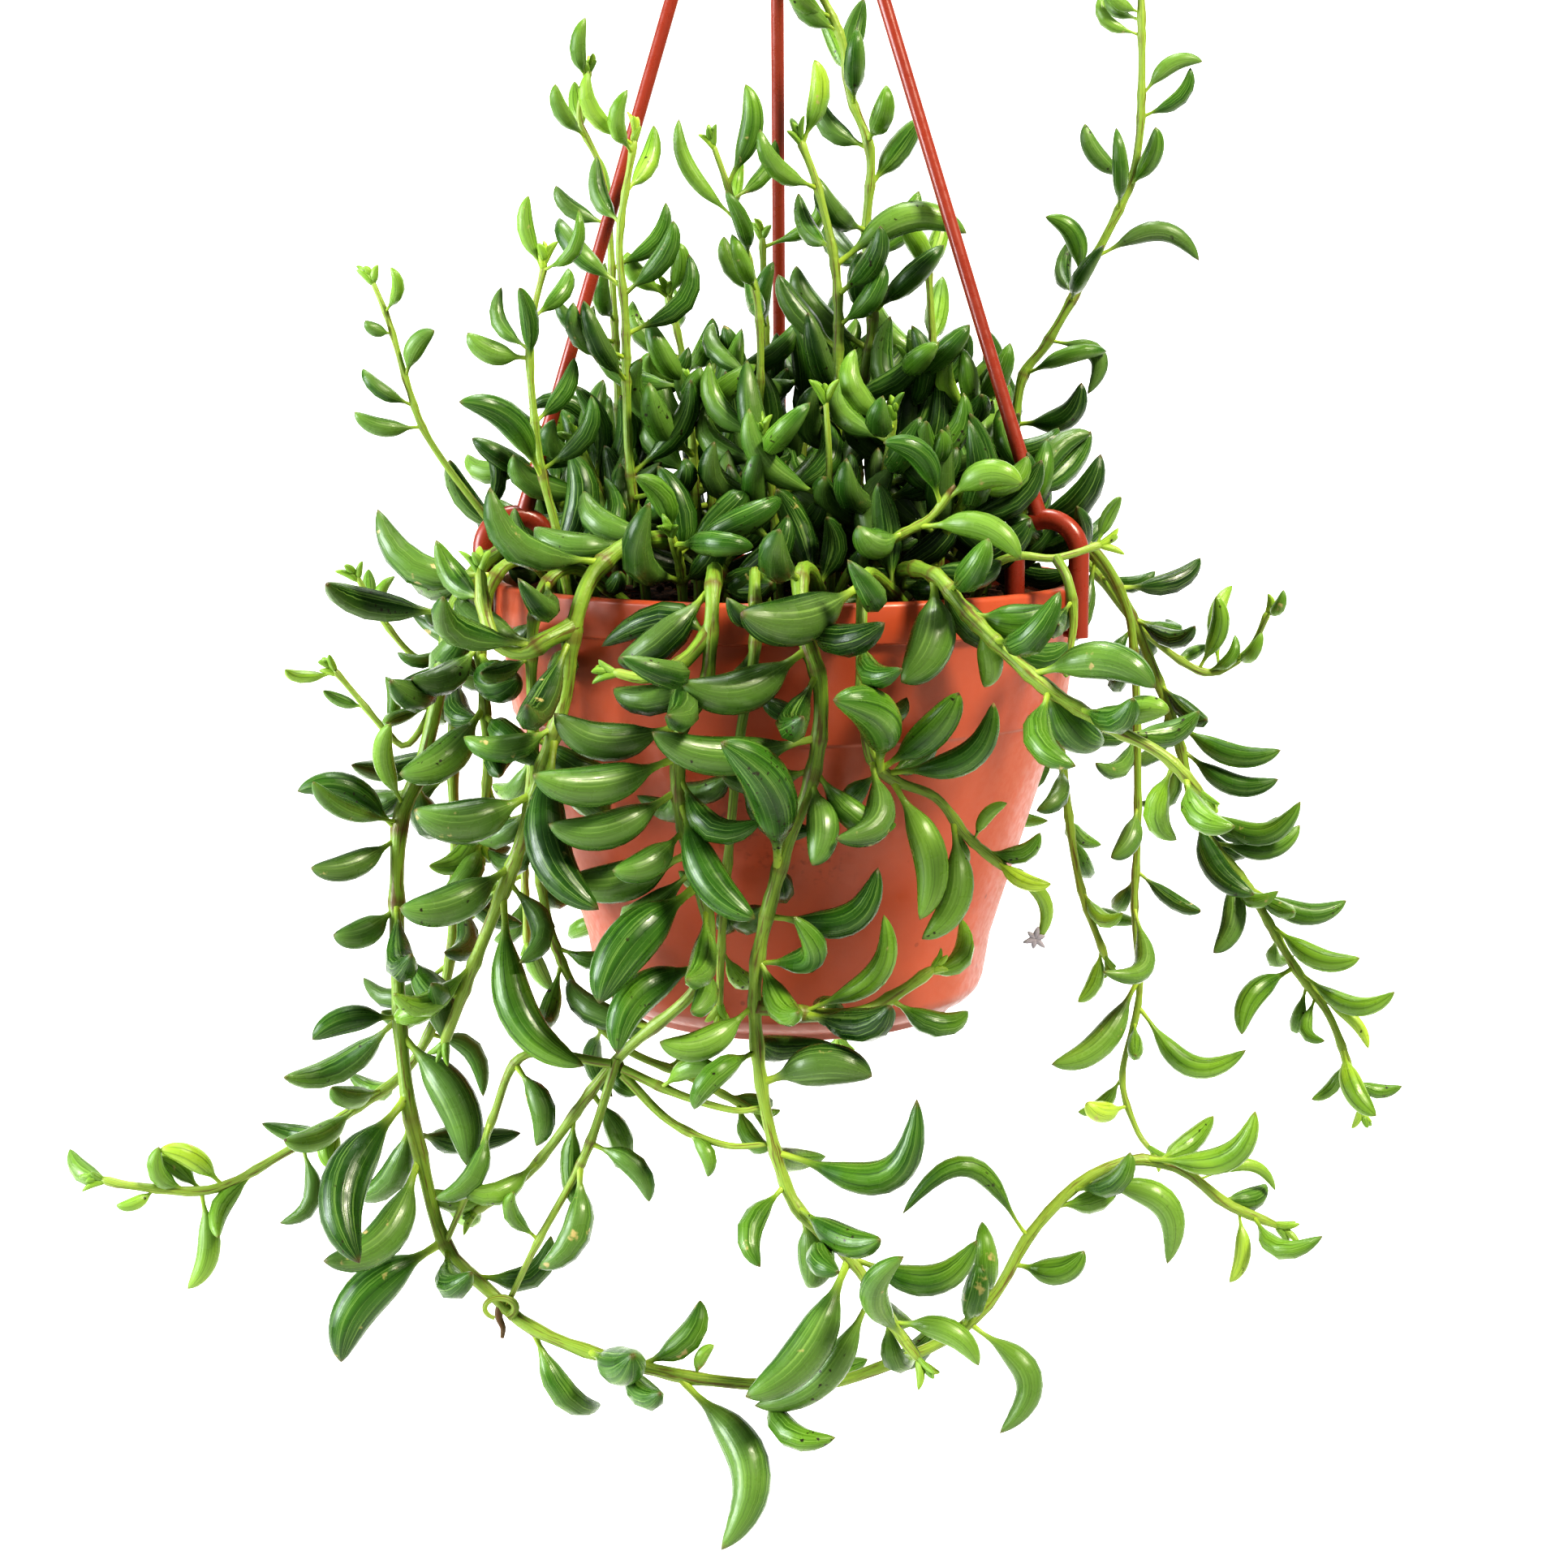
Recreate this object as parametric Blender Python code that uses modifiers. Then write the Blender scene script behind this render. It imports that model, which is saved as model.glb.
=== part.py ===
"""Hanging pot of string of beans, for Blender 4.5: plastic pot, soil, three-armed hanger, live stems.

Lengths in this file are millimetres measured from the centre of the pot's rim plane: +X to the
right, +Y to the back, +Z up. HOOK_HEIGHT moves everything down at the end, so that the origin
lies where the hanger's hook rests on whatever carries it.

Each plant stem is one body with the leaves that grew on it. A leaf is given by where it leaves
its stem, where its tip is, how wide it is and how far it bows. Leaves listed by hand are placed
first, the others follow a spiral round the stem and turn aside from whatever they would touch.
"""

from dataclasses import dataclass, field
from math import cos, pi, radians, sin

import bmesh
import bpy
import numpy as np

MM = 0.001
GAP = 0.35

# Pot: a moulded 12 cm hanging pot
RIM_RADIUS = 60.0
LIP_HEIGHT = 7.5
LIP_STEP = 1.4
COLLAR_HEIGHT = 26.5
COLLAR_RADIUS = 56.2
WAIST_RADIUS = 41.4
WAIST_DEPTH = 72.5
HEEL_RADIUS = 40.0
HEEL_DEPTH = 81.0
FOOT_RADIUS = 33.5
POT_HEIGHT = 88.0
WALL = 1.3
LIP_WALL = 2.6
FLOOR = 2.2
POT_STEPS = 36
SOIL_DEPTH = 5.0
SOIL_TOP = GAP - SOIL_DEPTH

# Hanger: hook and hub over the pot, and three arms that clip over the rim
HOOK_HEIGHT = 206.5
HUB_CENTRE = (-2.5, 0.0)
HUB_BOTTOM = 172.0
HUB_HEIGHT = 8.0
HUB_RADIUS = 7.0
HOOK_INNER_RADIUS = 7.5
HOOK_WIRE_RADIUS = 1.7
ARM_AZIMUTHS = {"right": -26.0, "back": 92.0, "left": 193.0}
ARM_RADIUS = 1.35
ARM_TOP_SPREAD = 4.2
ARM_FOOT_RADIUS = 54.0
CLIP_OUTER_RADIUS = 62.2
CLIP_INNER_RADIUS = 49.0
CLIP_WIRE_RADIUS = 1.3
CLIP_TOP = 13.2
BARB_RADIUS = 0.85
BARB_LEVEL = -(LIP_HEIGHT + 0.3 + GAP + BARB_RADIUS)

# Plants
GOLDEN_ANGLE = radians(137.5)
CURVE_STEP = 1.5
STEM_TOLERANCE = 0.45
ROOT_HEIGHT = 2.4
LISTED_RINGS = (0.0, 0.3, 0.68, 1.0)
SPIRAL_RINGS = (0.0, 0.5, 1.0)
LEAF_SAMPLES = 9
CLEARANCE = 0.45
BASE_ALLOWANCE = 7.0
LEAST_LEAF = 9.0
SPACING_SHARE = 1.5


@dataclass
class Stem:
    """One plant stem: its route, its thickness and the leaves that grow on it."""

    route: list
    radius: float = 1.3
    leaf_length: float = 24.0
    leaf_width: float = 6.5
    spacing: float = 9.0
    bare: float = 8.0
    branches: list = field(default_factory=list)
    leaves: list = field(default_factory=list)
    colour: tuple = (0.10, 0.26, 0.06)


# A route's points are chosen by hand. A leaf is (near point x, z), (tip x, y, z), width, bow, where a
# positive bow bulges to the left of the way from stem to tip, as seen from the front.
TRAILS = {
    "trail_front_left": Stem(
        route=[(-12, -26, SOIL_TOP), (-16, -31, 7), (-27, -42, 10.5), (-35.5, -51, 5.5), (-39.5, -55, -4.5),
               (-41.5, -54, -18), (-46, -53, -32), (-51, -50, -48), (-59, -47, -68), (-66, -44, -86)],
        radius=2.0, leaf_length=26, leaf_width=7.5, spacing=11,
        branches=[[(-39, -54, -4.5), (-44, -58, -6.5), (-48.7, -58, -9), (-53.7, -57, -7), (-56, -55, -1),
                   (-56.8, -53, 6)]],
        leaves=[((-43, -25), (-32.3, -63, -58.3), 8.6, -0.15), ((-54, -56), (-37.8, -57, -85.2), 7.4, -0.15),
                ((-48, -36), (-69, -58, -38), 8.0, 0.12), ((-54, -50), (-71.8, -54, -56.2), 7.0, 0.1)]),
    "trail_bottom_loop": Stem(
        route=[(-38, -14, SOIL_TOP), (-48, -18, 6), (-57, -22, 6.5), (-65, -26, -4), (-67.8, -29, -20),
               (-71.5, -31, -35.6), (-75.3, -33, -46), (-75.5, -37, -74), (-73.4, -42, -96),
               (-70.6, -45, -107), (-65.7, -48, -124), (-57, -51, -132), (-50.5, -54, -137),
               (-41, -57, -140.5), (-29, -60, -143), (-17, -62, -145), (4, -63, -146), (19, -62, -142),
               (31, -60, -137), (39, -58, -129.5), (45, -56, -119.5), (54.5, -54, -110), (65, -52, -106),
               (75, -50, -109), (83, -49, -115.5), (93.8, -48, -120.5)],
        radius=1.7, leaf_length=24, leaf_width=7, spacing=15,
        leaves=[((-70.5, -107), (-87, -55, -123), 7.6, 0.18), ((-73, -97), (-79, -62, -121), 9.0, -0.2),
                ((-66, -123), (-85, -54, -145), 8.6, -0.12), ((-75.5, -85), (-61, -50, -108), 7.6, 0.1),
                ((-75, -70), (-66, -46, -86), 6.2, 0.1), ((-75.3, -47), (-94, -38, -38), 5.6, -0.15),
                ((-75.3, -45), (-89, -44, -33), 3.6, 0.1), ((-75.3, -48), (-91, -42, -52), 5.0, 0.1),
                ((-75, -42), (-75, -44, -24), 3.8, 0.1), ((-75.5, -62), (-87, -42, -65), 5.4, 0.12),
                ((-75.5, -82), (-91, -44, -85), 5.0, -0.1), ((-21, -144.5), (-12, -70, -172), 8.4, 0.24),
                ((-38, -141), (-28, -66, -135), 7.0, -0.2), ((-18, -145), (-14, -62, -138.5), 2.4, 0.1),
                ((34, -135), (39, -66, -154), 6.4, 0.3), ((45, -119), (21, -60, -114), 5.2, -0.34),
                ((42, -125), (55, -60, -121), 5.4, -0.16), ((56, -109.5), (71, -56, -125), 6.4, 0.26),
                ((67, -106), (86.5, -54, -94.5), 5.4, -0.2), ((86, -117), (83.5, -52, -130), 3.0, 0.1),
                ((78, -111), (93, -46, -114), 2.6, 0.2)]),
    "trail_front_centre_left": Stem(
        route=[(-14, -42, SOIL_TOP), (-13.6, -52, 5), (-13.8, -60, 5.5), (-14, -65.5, -2), (-15.2, -67, -15),
               (-19.7, -67, -22.5), (-19.7, -66.5, -37), (-16.7, -65, -49.5), (-14.5, -64, -60),
               (-17.5, -62, -71), (-29, -58, -82), (-35, -56, -89), (-49, -51, -108.5), (-60.5, -45, -118.5)],
        radius=1.6, leaf_length=24, leaf_width=7, spacing=12,
        branches=[[(-14, -65.5, -4), (-19, -68, -9.5), (-25.6, -67.5, -12.5), (-32, -66, -11.5)]],
        leaves=[((-19, -21), (-42, -70, -18.5), 7.0, 0.14), ((-20, -27), (-45, -80, -28), 7.0, 0.1),
                ((-20, -33), (-43, -73, -38), 6.6, 0.12), ((-18, -45), (-41, -68, -50), 7.0, 0.08),
                ((-19, -41), (-31.5, -75, -46), 5.4, 0.12), ((-19.5, -34), (-6, -76, -53.5), 6.4, -0.1),
                ((-16.5, -50), (-34, -76, -70), 8.6, -0.08), ((-15.5, -65), (-31, -73, -80), 7.0, -0.16)]),
    "trail_front_centre_right": Stem(
        route=[(6, -40, SOIL_TOP), (4, -52, 5), (2, -59.5, 5.5), (2.5, -65.5, -4), (5.6, -67.5, -15),
               (4.2, -67, -30), (-1, -67, -44.5), (-5.5, -66, -62.5), (-6.3, -65, -75), (-4.8, -65, -90),
               (-1.8, -66, -103), (2, -68, -111), (11.5, -72, -119), (18.7, -75, -129.5), (23.8, -77, -136)],
        radius=1.7, leaf_length=24, leaf_width=7, spacing=12,
        branches=[[(-6.3, -65, -73), (4, -62, -75.5), (13.4, -58, -76), (21, -54, -73), (27.3, -52, -69)]],
        leaves=[((3.5, -8), (-19, -76, -12.2), 7.8, 0.14), ((4.8, -24), (-24.3, -76, -21), 6.8, 0.1),
                ((-2, -47), (-12, -80, -21.5), 8.4, -0.12), ((4, -31), (4, -76, -45), 5.6, 0.1),
                ((-6, -73), (-23.5, -72, -78), 5.6, 0.14), ((-5, -87), (15, -70, -85), 7.4, 0.1),
                ((-2.5, -101), (23, -72, -88.5), 7.6, -0.3), ((1.8, -110.5), (18.7, -74, -110), 5.8, -0.14),
                ((10.5, -118), (34, -78, -114.5), 6.2, -0.2), ((2, -111), (3.4, -74, -127.5), 6.8, 0.1),
                ((10.5, -118.5), (-8, -82, -140.5), 7.4, 0.1), ((15, -124), (-6.5, -70, -147), 5.6, 0.12),
                ((21, -132), (20, -84, -112), 5.4, 0.2), ((18.5, -129), (34, -80, -135.5), 4.6, 0.14),
                ((-5.8, -65), (0.5, -76, -54), 6.2, -0.42), ((-4.2, -57), (16, -72, -47), 6.4, -0.22),
                ((2, -76), (17, -68, -55.5), 4.8, -0.18)]),
    "trail_front_right": Stem(
        route=[(20, -36, SOIL_TOP), (21, -46, 5), (26.7, -60, 5), (32.3, -68, -1.5), (43.6, -76, -12),
               (54.9, -80, -19), (64.7, -83, -24), (71.8, -84, -31)],
        radius=1.7, leaf_length=22, leaf_width=7.5, spacing=9,
        leaves=[((26, 5), (19.5, -80, -14), 8.2, 0.12), ((32, -1), (47.5, -78, 0.5), 6.8, -0.12),
                ((43, -11), (63, -86, -12), 6.6, 0.14), ((44, -13), (57, -78, -24.5), 7.4, -0.1),
                ((55, -19), (65.5, -86, -16), 4.6, 0.1), ((33, -3), (35, -70, -14.5), 4.4, 0.1)]),
    "trail_pot_face": Stem(
        route=[(22, -44, SOIL_TOP), (16, -54, 4.5), (13.5, -61, 4.5), (12.8, -67, -6), (13.1, -66, -17),
               (14.6, -64.5, -27), (19.2, -62, -32), (26.8, -60, -35.5), (33, -57, -43.5), (40.7, -56, -50)],
        radius=1.4, leaf_length=20, leaf_width=6, spacing=12,
        leaves=[((14.5, 3), (-9.7, -74, 0.6), 8.6, 0.12), ((17, -30), (7, -75, -13.5), 8.2, -0.2),
                ((18, -31), (36.5, -68, -16.8), 5.6, -0.18), ((17, -30), (30, -72, -14.5), 5.6, -0.06),
                ((19, -32), (23.5, -68, -56.5), 6.2, 0.12), ((30, -39), (24, -66, -60.5), 5.8, 0.14),
                ((38, -47), (48, -60, -51.5), 3.0, -0.1), ((39, -48), (46, -60, -63.5), 3.0, 0.2),
                ((34, -44), (39.8, -60, -36.5), 2.4, 0.1), ((15, -28), (8, -72, -40), 6.2, 0.3)]),
    "trail_right_thin": Stem(
        route=[(40, 6, SOIL_TOP), (50, 5, 6), (60, 4, 7), (67.6, 4, -2.5), (70.8, 3, -16), (71.8, 1, -49),
               (71.3, 0, -69), (72.4, -1, -87), (69, -2, -103.5), (71.7, -4, -114), (74.8, -6, -118.5)],
        radius=1.1, leaf_length=19, leaf_width=5, spacing=20,
        leaves=[((71.3, -68), (62.5, -6, -79), 5.2, 0.42), ((70.5, -84), (53.5, -10, -99), 5.6, 0.12),
                ((72.3, -90), (93.5, -8, -96.5), 5.4, -0.24), ((69.5, -110), (61, -8, -107.5), 4.4, 0.14),
                ((71.8, -48), (65.5, -6, -57), 4.4, 0.12)]),
    "trail_right_outer": Stem(
        route=[(34, 20, SOIL_TOP), (46, 22, 5.5), (57, 22, 8), (66, 22.5, 1), (73.8, 22, -13), (82.2, 20, -35),
               (87.2, 18, -54), (97, 16, -67), (107, 14, -84), (115, 12, -95.5), (121.6, 10, -115)],
        radius=1.5, leaf_length=20, leaf_width=5.2, spacing=10,
        leaves=[((81.5, -33), (103, 12, -37.5), 4.8, -0.12), ((83, -38), (103, 14, -44), 4.8, -0.14),
                ((86, -50), (107, 10, -48), 5.6, -0.24), ((90, -58), (108.5, 18, -54.5), 4.8, -0.14),
                ((86, -52), (96.5, 8, -66.5), 5.4, -0.14), ((93, -63), (89, 8, -80), 5.0, 0.12),
                ((98, -68), (119, 14, -71), 5.0, -0.14), ((102, -76), (119.5, 12, -80), 4.8, -0.14),
                ((108, -85), (126.5, 10, -86.5), 4.4, -0.2), ((107, -84), (95, 6, -97), 5.2, -0.14),
                ((111, -90), (122, 8, -100.5), 2.6, 0.1), ((117, -101), (122.5, 6, -113), 4.6, -0.1)]),
    "trail_right_short": Stem(
        route=[(42, 24, SOIL_TOP), (50, 26, 6), (58, 29, 6), (66, 31, -2), (75, 34, -13), (86, 36, -22),
               (93, 36, -24), (100, 34, -18.5), (103.5, 32, -10)],
        radius=1.2, leaf_length=16, leaf_width=4.6, spacing=9,
        leaves=[((90, -23), (92, 32, -7), 4.0, -0.1), ((94, -23), (98, 36, -5), 3.6, 0.1)]),
    "trail_left_reach": Stem(
        route=[(-40, 4, SOIL_TOP), (-50, 3, 6), (-58.5, 2, 7), (-65, 0, -3), (-68.5, -2, -32), (-68.2, -4, -61.5),
               (-70.5, -6, -84), (-77.7, -8, -100), (-90.5, -10, -109.5), (-103, -12, -117),
               (-117.5, -14, -124), (-133.5, -16, -122.5), (-140, -16, -121)],
        radius=1.5, leaf_length=22, leaf_width=6.5, spacing=10,
        leaves=[((-88, -108), (-101.5, -14, -111), 5.0, 0.14), ((-92, -111), (-92, -16, -119), 4.6, -0.14),
                ((-115, -123), (-127, -18, -114.5), 4.4, -0.1), ((-119, -124), (-122, -18, -143.5), 4.6, 0.12),
                ((-128, -123), (-136, -18, -126), 2.6, 0.1)]),
    "trail_left_hook_upper": Stem(
        route=[(-38, 14, SOIL_TOP), (-48, 15, 6), (-58, 16, 6), (-65, 17, -5), (-71, 18, -16), (-78, 18, -19),
               (-86, 18, -10), (-91, 18, -1)],
        radius=1.1, leaf_length=15, leaf_width=4.4, spacing=10),
    "trail_left_hook_lower": Stem(
        route=[(-44, -5, SOIL_TOP), (-52, -7, 5.5), (-59, -9, 3.5), (-66, -10, -8), (-71, -10, -24),
               (-76.5, -11, -33), (-81, -11, -30), (-87, -10, -23), (-91.5, -10, -17.5)],
        radius=1.1, leaf_length=15, leaf_width=4.4, spacing=10),
    "trail_left_middle": Stem(
        route=[(-43, -25, SOIL_TOP), (-50, -30, 5.5), (-56, -33, 3), (-59, -35, -8), (-58.4, -36, -18),
               (-58, -34, -34), (-60, -30, -50)],
        radius=1.5, leaf_length=25, leaf_width=8, spacing=9,
        leaves=[((-59, -12), (-50.5, -46, -15), 8.2, -0.24), ((-58.5, -22), (-73, -48, -33), 7.0, 0.12)]),
    "trail_left_sweep": Stem(
        route=[(-31, -34, SOIL_TOP), (-40, -42, 5), (-46, -46, 1.5), (-48, -47.5, -9), (-48, -45, -30),
               (-47.5, -40, -55), (-43, -38, -73), (-33, -42, -86), (-19, -45, -92), (-6, -48, -98)],
        radius=1.3, leaf_length=21, leaf_width=6, spacing=10),
    "trail_front_middle": Stem(
        route=[(-4, -46, SOIL_TOP), (-6, -55, 5), (-6.3, -61.5, 4), (-6.3, -65.5, -8), (-9, -63, -24),
               (-11, -60.5, -44), (-12.5, -59, -62), (-13, -57, -76)],
        radius=1.3, leaf_length=20, leaf_width=6, spacing=11),
    "trail_left_back": Stem(
        route=[(-32, 26, SOIL_TOP), (-42, 34, 6), (-49, 40, 4), (-54, 44, -10), (-56, 44, -36), (-58, 38, -62),
               (-57, 30, -84)],
        radius=1.4, leaf_length=24, leaf_width=7, spacing=9),
    "trail_back_left": Stem(
        route=[(-20, 38, SOIL_TOP), (-27, 50, 6), (-31, 58, 3), (-33, 63, -12), (-34, 64, -40), (-37, 62, -70),
               (-42, 58, -92)],
        radius=1.5, leaf_length=24, leaf_width=7, spacing=9),
    "trail_back_middle": Stem(
        route=[(8, 42, SOIL_TOP), (10, 54, 6), (11, 62, 3), (12, 67, -12), (10, 67, -38), (6, 65, -66),
               (7, 63, -92), (12, 61, -112)],
        radius=1.6, leaf_length=25, leaf_width=7, spacing=9),
    "trail_back_right": Stem(
        route=[(24, 36, SOIL_TOP), (31, 47, 6), (36, 54, 3), (40, 59, -12), (42, 58, -40), (45, 52, -64)],
        radius=1.4, leaf_length=24, leaf_width=7, spacing=9),
    "trail_right_back": Stem(
        route=[(36, 30, SOIL_TOP), (46, 38, 6), (51, 42, 3), (56, 46, -12), (60, 45, -40), (64, 40, -70),
               (70, 36, -88)],
        radius=1.4, leaf_length=22, leaf_width=6, spacing=9),
}

SHOOTS = {
    "shoot_far_left": Stem(
        route=[(-48, -3, SOIL_TOP), (-56, -4, 8), (-62, -6, 14), (-72, -6, 28), (-76, -6, 38.5), (-79.5, -6, 51),
               (-83, -6, 60)],
        radius=1.0, leaf_length=15, leaf_width=4, spacing=9,
        leaves=[((-73, 30), (-86.5, -8, 33.5), 3.6, 0.1), ((-76, 41), (-70, -10, 49.5), 3.8, 0.1),
                ((-79, 49), (-84, -8, 51.5), 2.6, 0.1)]),
    "shoot_left_front": Stem(
        route=[(-42, -33, SOIL_TOP), (-44.4, -34, 12), (-47.5, -34, 26), (-49, -34, 47), (-46, -34, 62)],
        radius=1.1, leaf_length=18, leaf_width=4.6, spacing=6.5,
        leaves=[((-46, 22), (-62, -36, 37), 5.6, -0.14), ((-48.5, 44), (-60.5, -36, 49), 4.4, 0.1)]),
    "shoot_left_back": Stem(
        route=[(-30, 16, SOIL_TOP), (-34.5, 15, 23), (-36, 15, 51), (-37, 15, 71), (-38.7, 15, 83),
               (-43, 15, 93), (-40.5, 15, 103)],
        radius=1.1, leaf_length=17, leaf_width=4.8, spacing=6.5),
    "shoot_left_middle": Stem(
        route=[(-28, -21, SOIL_TOP), (-31, -23, 25), (-31.5, -24, 51), (-32.5, -24, 67), (-29.5, -24, 86)],
        radius=1.2, leaf_length=20, leaf_width=5.4, spacing=6),
    "shoot_centre_left": Stem(
        route=[(-7, -14, SOIL_TOP), (-6, -12, 15), (-6, -12, 28), (-6, -12, 53), (-11, -12, 74), (-15, -12, 86)],
        radius=1.1, leaf_length=18, leaf_width=4.8, spacing=8,
        leaves=[((-10, 71), (-21.5, -12, 90.5), 3.2, 0.1), ((-12, 77), (-8.5, -14, 97), 4.4, -0.1)]),
    "shoot_tall": Stem(
        route=[(15, 8, SOIL_TOP), (14, 8, 30), (17, 8, 51), (15.7, 8, 69), (16.5, 8, 85), (12.3, 8, 97),
               (10.6, 8, 108), (5.2, 8, 119), (2.5, 8, 124)],
        radius=1.4, leaf_length=18, leaf_width=6.2, spacing=5.5),
    "shoot_centre_right": Stem(
        route=[(9, -13, SOIL_TOP), (9.5, -10, 31), (9.5, -10, 58), (6, -10, 76), (2, -10, 87)],
        radius=1.4, leaf_length=20, leaf_width=6, spacing=7,
        leaves=[((10, 62), (35, -14, 68.5), 6.4, 0.16)]),
    "shoot_right_tall": Stem(
        route=[(38, 12, SOIL_TOP), (46, 19, 23), (48.7, 20, 39.5), (53.8, 20, 47), (61.6, 20, 61), (70, 20, 78),
               (72.4, 20, 88.5), (72.8, 20, 102), (72.4, 20, 119), (72.2, 20, 128)],
        radius=1.3, leaf_length=17, leaf_width=4.4, spacing=13,
        leaves=[((72.8, 98), (85, 18, 104.5), 3.6, 0.14), ((70.5, 80), (61, 18, 92), 3.8, 0.1),
                ((70.5, 79), (75, 14, 91), 3.8, -0.1), ((60.5, 59), (53, 18, 73), 4.6, -0.16),
                ((64, 65), (85, 18, 64), 4.6, 0.2), ((72.3, 114), (65.5, 18, 119.5), 2.6, 0.1),
                ((54.5, 47), (62, 16, 36.5), 5.0, 0.34), ((48, 30), (60.5, 14, 39), 5.6, -0.2)]),
    "shoot_front_small": Stem(
        route=[(8, -34, SOIL_TOP), (7.5, -36, 12), (7.5, -36, 26), (6.8, -36, 37)],
        radius=1.0, leaf_length=12, leaf_width=3.6, spacing=8,
        leaves=[((7.5, 17), (-7.5, -42, 35), 5.0, 0.14)]),
    "shoot_cut": Stem(
        route=[(8, -45, SOIL_TOP), (12, -47, 6), (20, -49, 11.5), (26, -49, 15), (30.5, -50, 21)],
        radius=1.2, leaf_length=14, leaf_width=5, spacing=30, bare=40,
        leaves=[((22, 10.5), (12.5, -55, 14), 6.4, 0.24), ((29, 19), (42.5, -54, 21.5), 5.6, 0.16),
                ((24, 12), (42, -58, 8), 5.2, 0.14), ((28, 18), (17, -54, 29), 5.0, -0.16)]),
    "shoot_rim_right": Stem(
        route=[(35, -33, SOIL_TOP), (38, -40, 5), (43, -43, 7.5), (50, -42, 7), (59.2, -39.5, 9.5)],
        radius=1.2, leaf_length=14, leaf_width=4.4, spacing=12,
        branches=[[(50, -42, 7), (52, -45, 3), (53, -46.5, -4), (52, -48, -11)]]),
    "shoot_back_left": Stem(
        route=[(-18, 24, SOIL_TOP), (-21, 24, 23), (-22, 24, 42), (-25.5, 24, 58)],
        radius=1.2, leaf_length=20, leaf_width=6, spacing=6),
    "shoot_back_middle": Stem(
        route=[(-4, 27, SOIL_TOP), (-3, 27, 22), (-4.7, 27, 47), (-5.6, 26, 70)],
        radius=1.2, leaf_length=18, leaf_width=5.6, spacing=7),
    "shoot_right_inner": Stem(
        route=[(27, 12, SOIL_TOP), (31, 14, 23), (30, 14, 42), (28.6, 14, 64)],
        radius=1.3, leaf_length=22, leaf_width=6.8, spacing=6.5),
    "shoot_right_front": Stem(
        route=[(32, -8, SOIL_TOP), (37, -9, 15), (36.5, -8, 34)],
        radius=1.2, leaf_length=20, leaf_width=6.6, spacing=6.5),
    "shoot_back_right": Stem(
        route=[(18, 30, SOIL_TOP), (20, 32, 20), (23, 33, 44)],
        radius=1.2, leaf_length=20, leaf_width=6, spacing=7),
}

# Short stems of the crown: foot x and y, lean x and y, height
CROWN = (
    (-20, -40, -2, -8, 12),
    (-2, -28, -3, -6, 30),
    (17, -26, 3, -6, 34),
    (28, -27, 6, -10, 20),
    (-34, -8, -8, -1, 28),
    (-18, -12, -2, -3, 40),
    (-44, 8, -8, 2, 24),
    (-16, 6, 1, 2, 44),
    (2, 12, 2, 3, 46),
    (22, -4, 2, -2, 44),
    (44, -8, 5, -4, 20),
    (-34, 33, -4, 6, 26),
    (4, 40, 1, 6, 28),
    (34, 4, 4, 1, 36),
)
CROWN_LEAF = (25.0, 7.4)


def smooth_line(points, step):
    """Points about `step` apart on a smooth curve through the given ones."""
    points = np.asarray(points, float)
    ends = np.vstack([2 * points[0] - points[1], points, 2 * points[-1] - points[-2]])
    t = np.linspace(0, 1, 12, endpoint=False)[:, None]
    dense = []
    for a, b, c, d in zip(ends, ends[1:], ends[2:], ends[3:]):
        dense.append(0.5 * (2 * b + (c - a) * t + (2 * a - 5 * b + 4 * c - d) * t**2
                            + (3 * b - a - 3 * c + d) * t**3))
    dense = np.vstack(dense + [points[-1:]])
    along = np.concatenate([[0], np.cumsum(np.linalg.norm(np.diff(dense, axis=0), axis=1))])
    count = max(3, int(round(along[-1] / step)) + 1)
    at = np.linspace(0, along[-1], count)
    return np.stack([np.interp(at, along, dense[:, k]) for k in range(3)], axis=1)


def simplified(points, tolerance):
    """The fewest of these points whose straight runs stay within the tolerance of all of them."""
    if len(points) < 3:
        return points
    along = unit(points[-1] - points[0])
    offset = points - points[0]
    away = np.linalg.norm(offset - np.outer(offset @ along, along), axis=1)
    far = int(away.argmax())
    if away[far] <= tolerance:
        return points[[0, -1]]
    return np.vstack([simplified(points[: far + 1], tolerance)[:-1], simplified(points[far:], tolerance)])


def stem_line(route, step):
    """The centre line of a main stem: straight up out of the soil, then a smooth curve."""
    x, y, z = route[0]
    return np.vstack([route[:1], smooth_line([(x, y, z + ROOT_HEIGHT)] + route[1:], step)])


def unit(vector):
    """The vector at length 1."""
    return vector / max(np.linalg.norm(vector), 1e-9)


def leaf_line(base, tip, bow, at):
    """The leaf's centre line at the fractions `at`: a parabola from base to tip that bows by `bow`."""
    at = np.asarray(at, float)[:, None]
    return base + (tip - base) * at + bow * 4 * at * (1 - at)


def leaf_radius(width, at):
    """Half the leaf's thickness at the fractions `at`: a thin stalk, a plump middle, a pointed tip."""
    shape = np.interp(at, (0, 0.12, 0.28, 0.45, 0.6, 0.78, 0.92, 1), (0.26, 0.3, 0.72, 1, 0.98, 0.74, 0.36, 0.07))
    return np.maximum(0.5 * width * shape, 0.15)


def pot_outline(depth):
    """The pot's outer radius at this depth under the rim plane."""
    depths = (0, LIP_HEIGHT, LIP_HEIGHT + 0.4, COLLAR_HEIGHT, WAIST_DEPTH, HEEL_DEPTH, POT_HEIGHT)
    radii = (RIM_RADIUS, RIM_RADIUS, RIM_RADIUS - LIP_STEP, COLLAR_RADIUS, WAIST_RADIUS, HEEL_RADIUS, FOOT_RADIUS + 3)
    return np.interp(depth, depths, radii)


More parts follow.
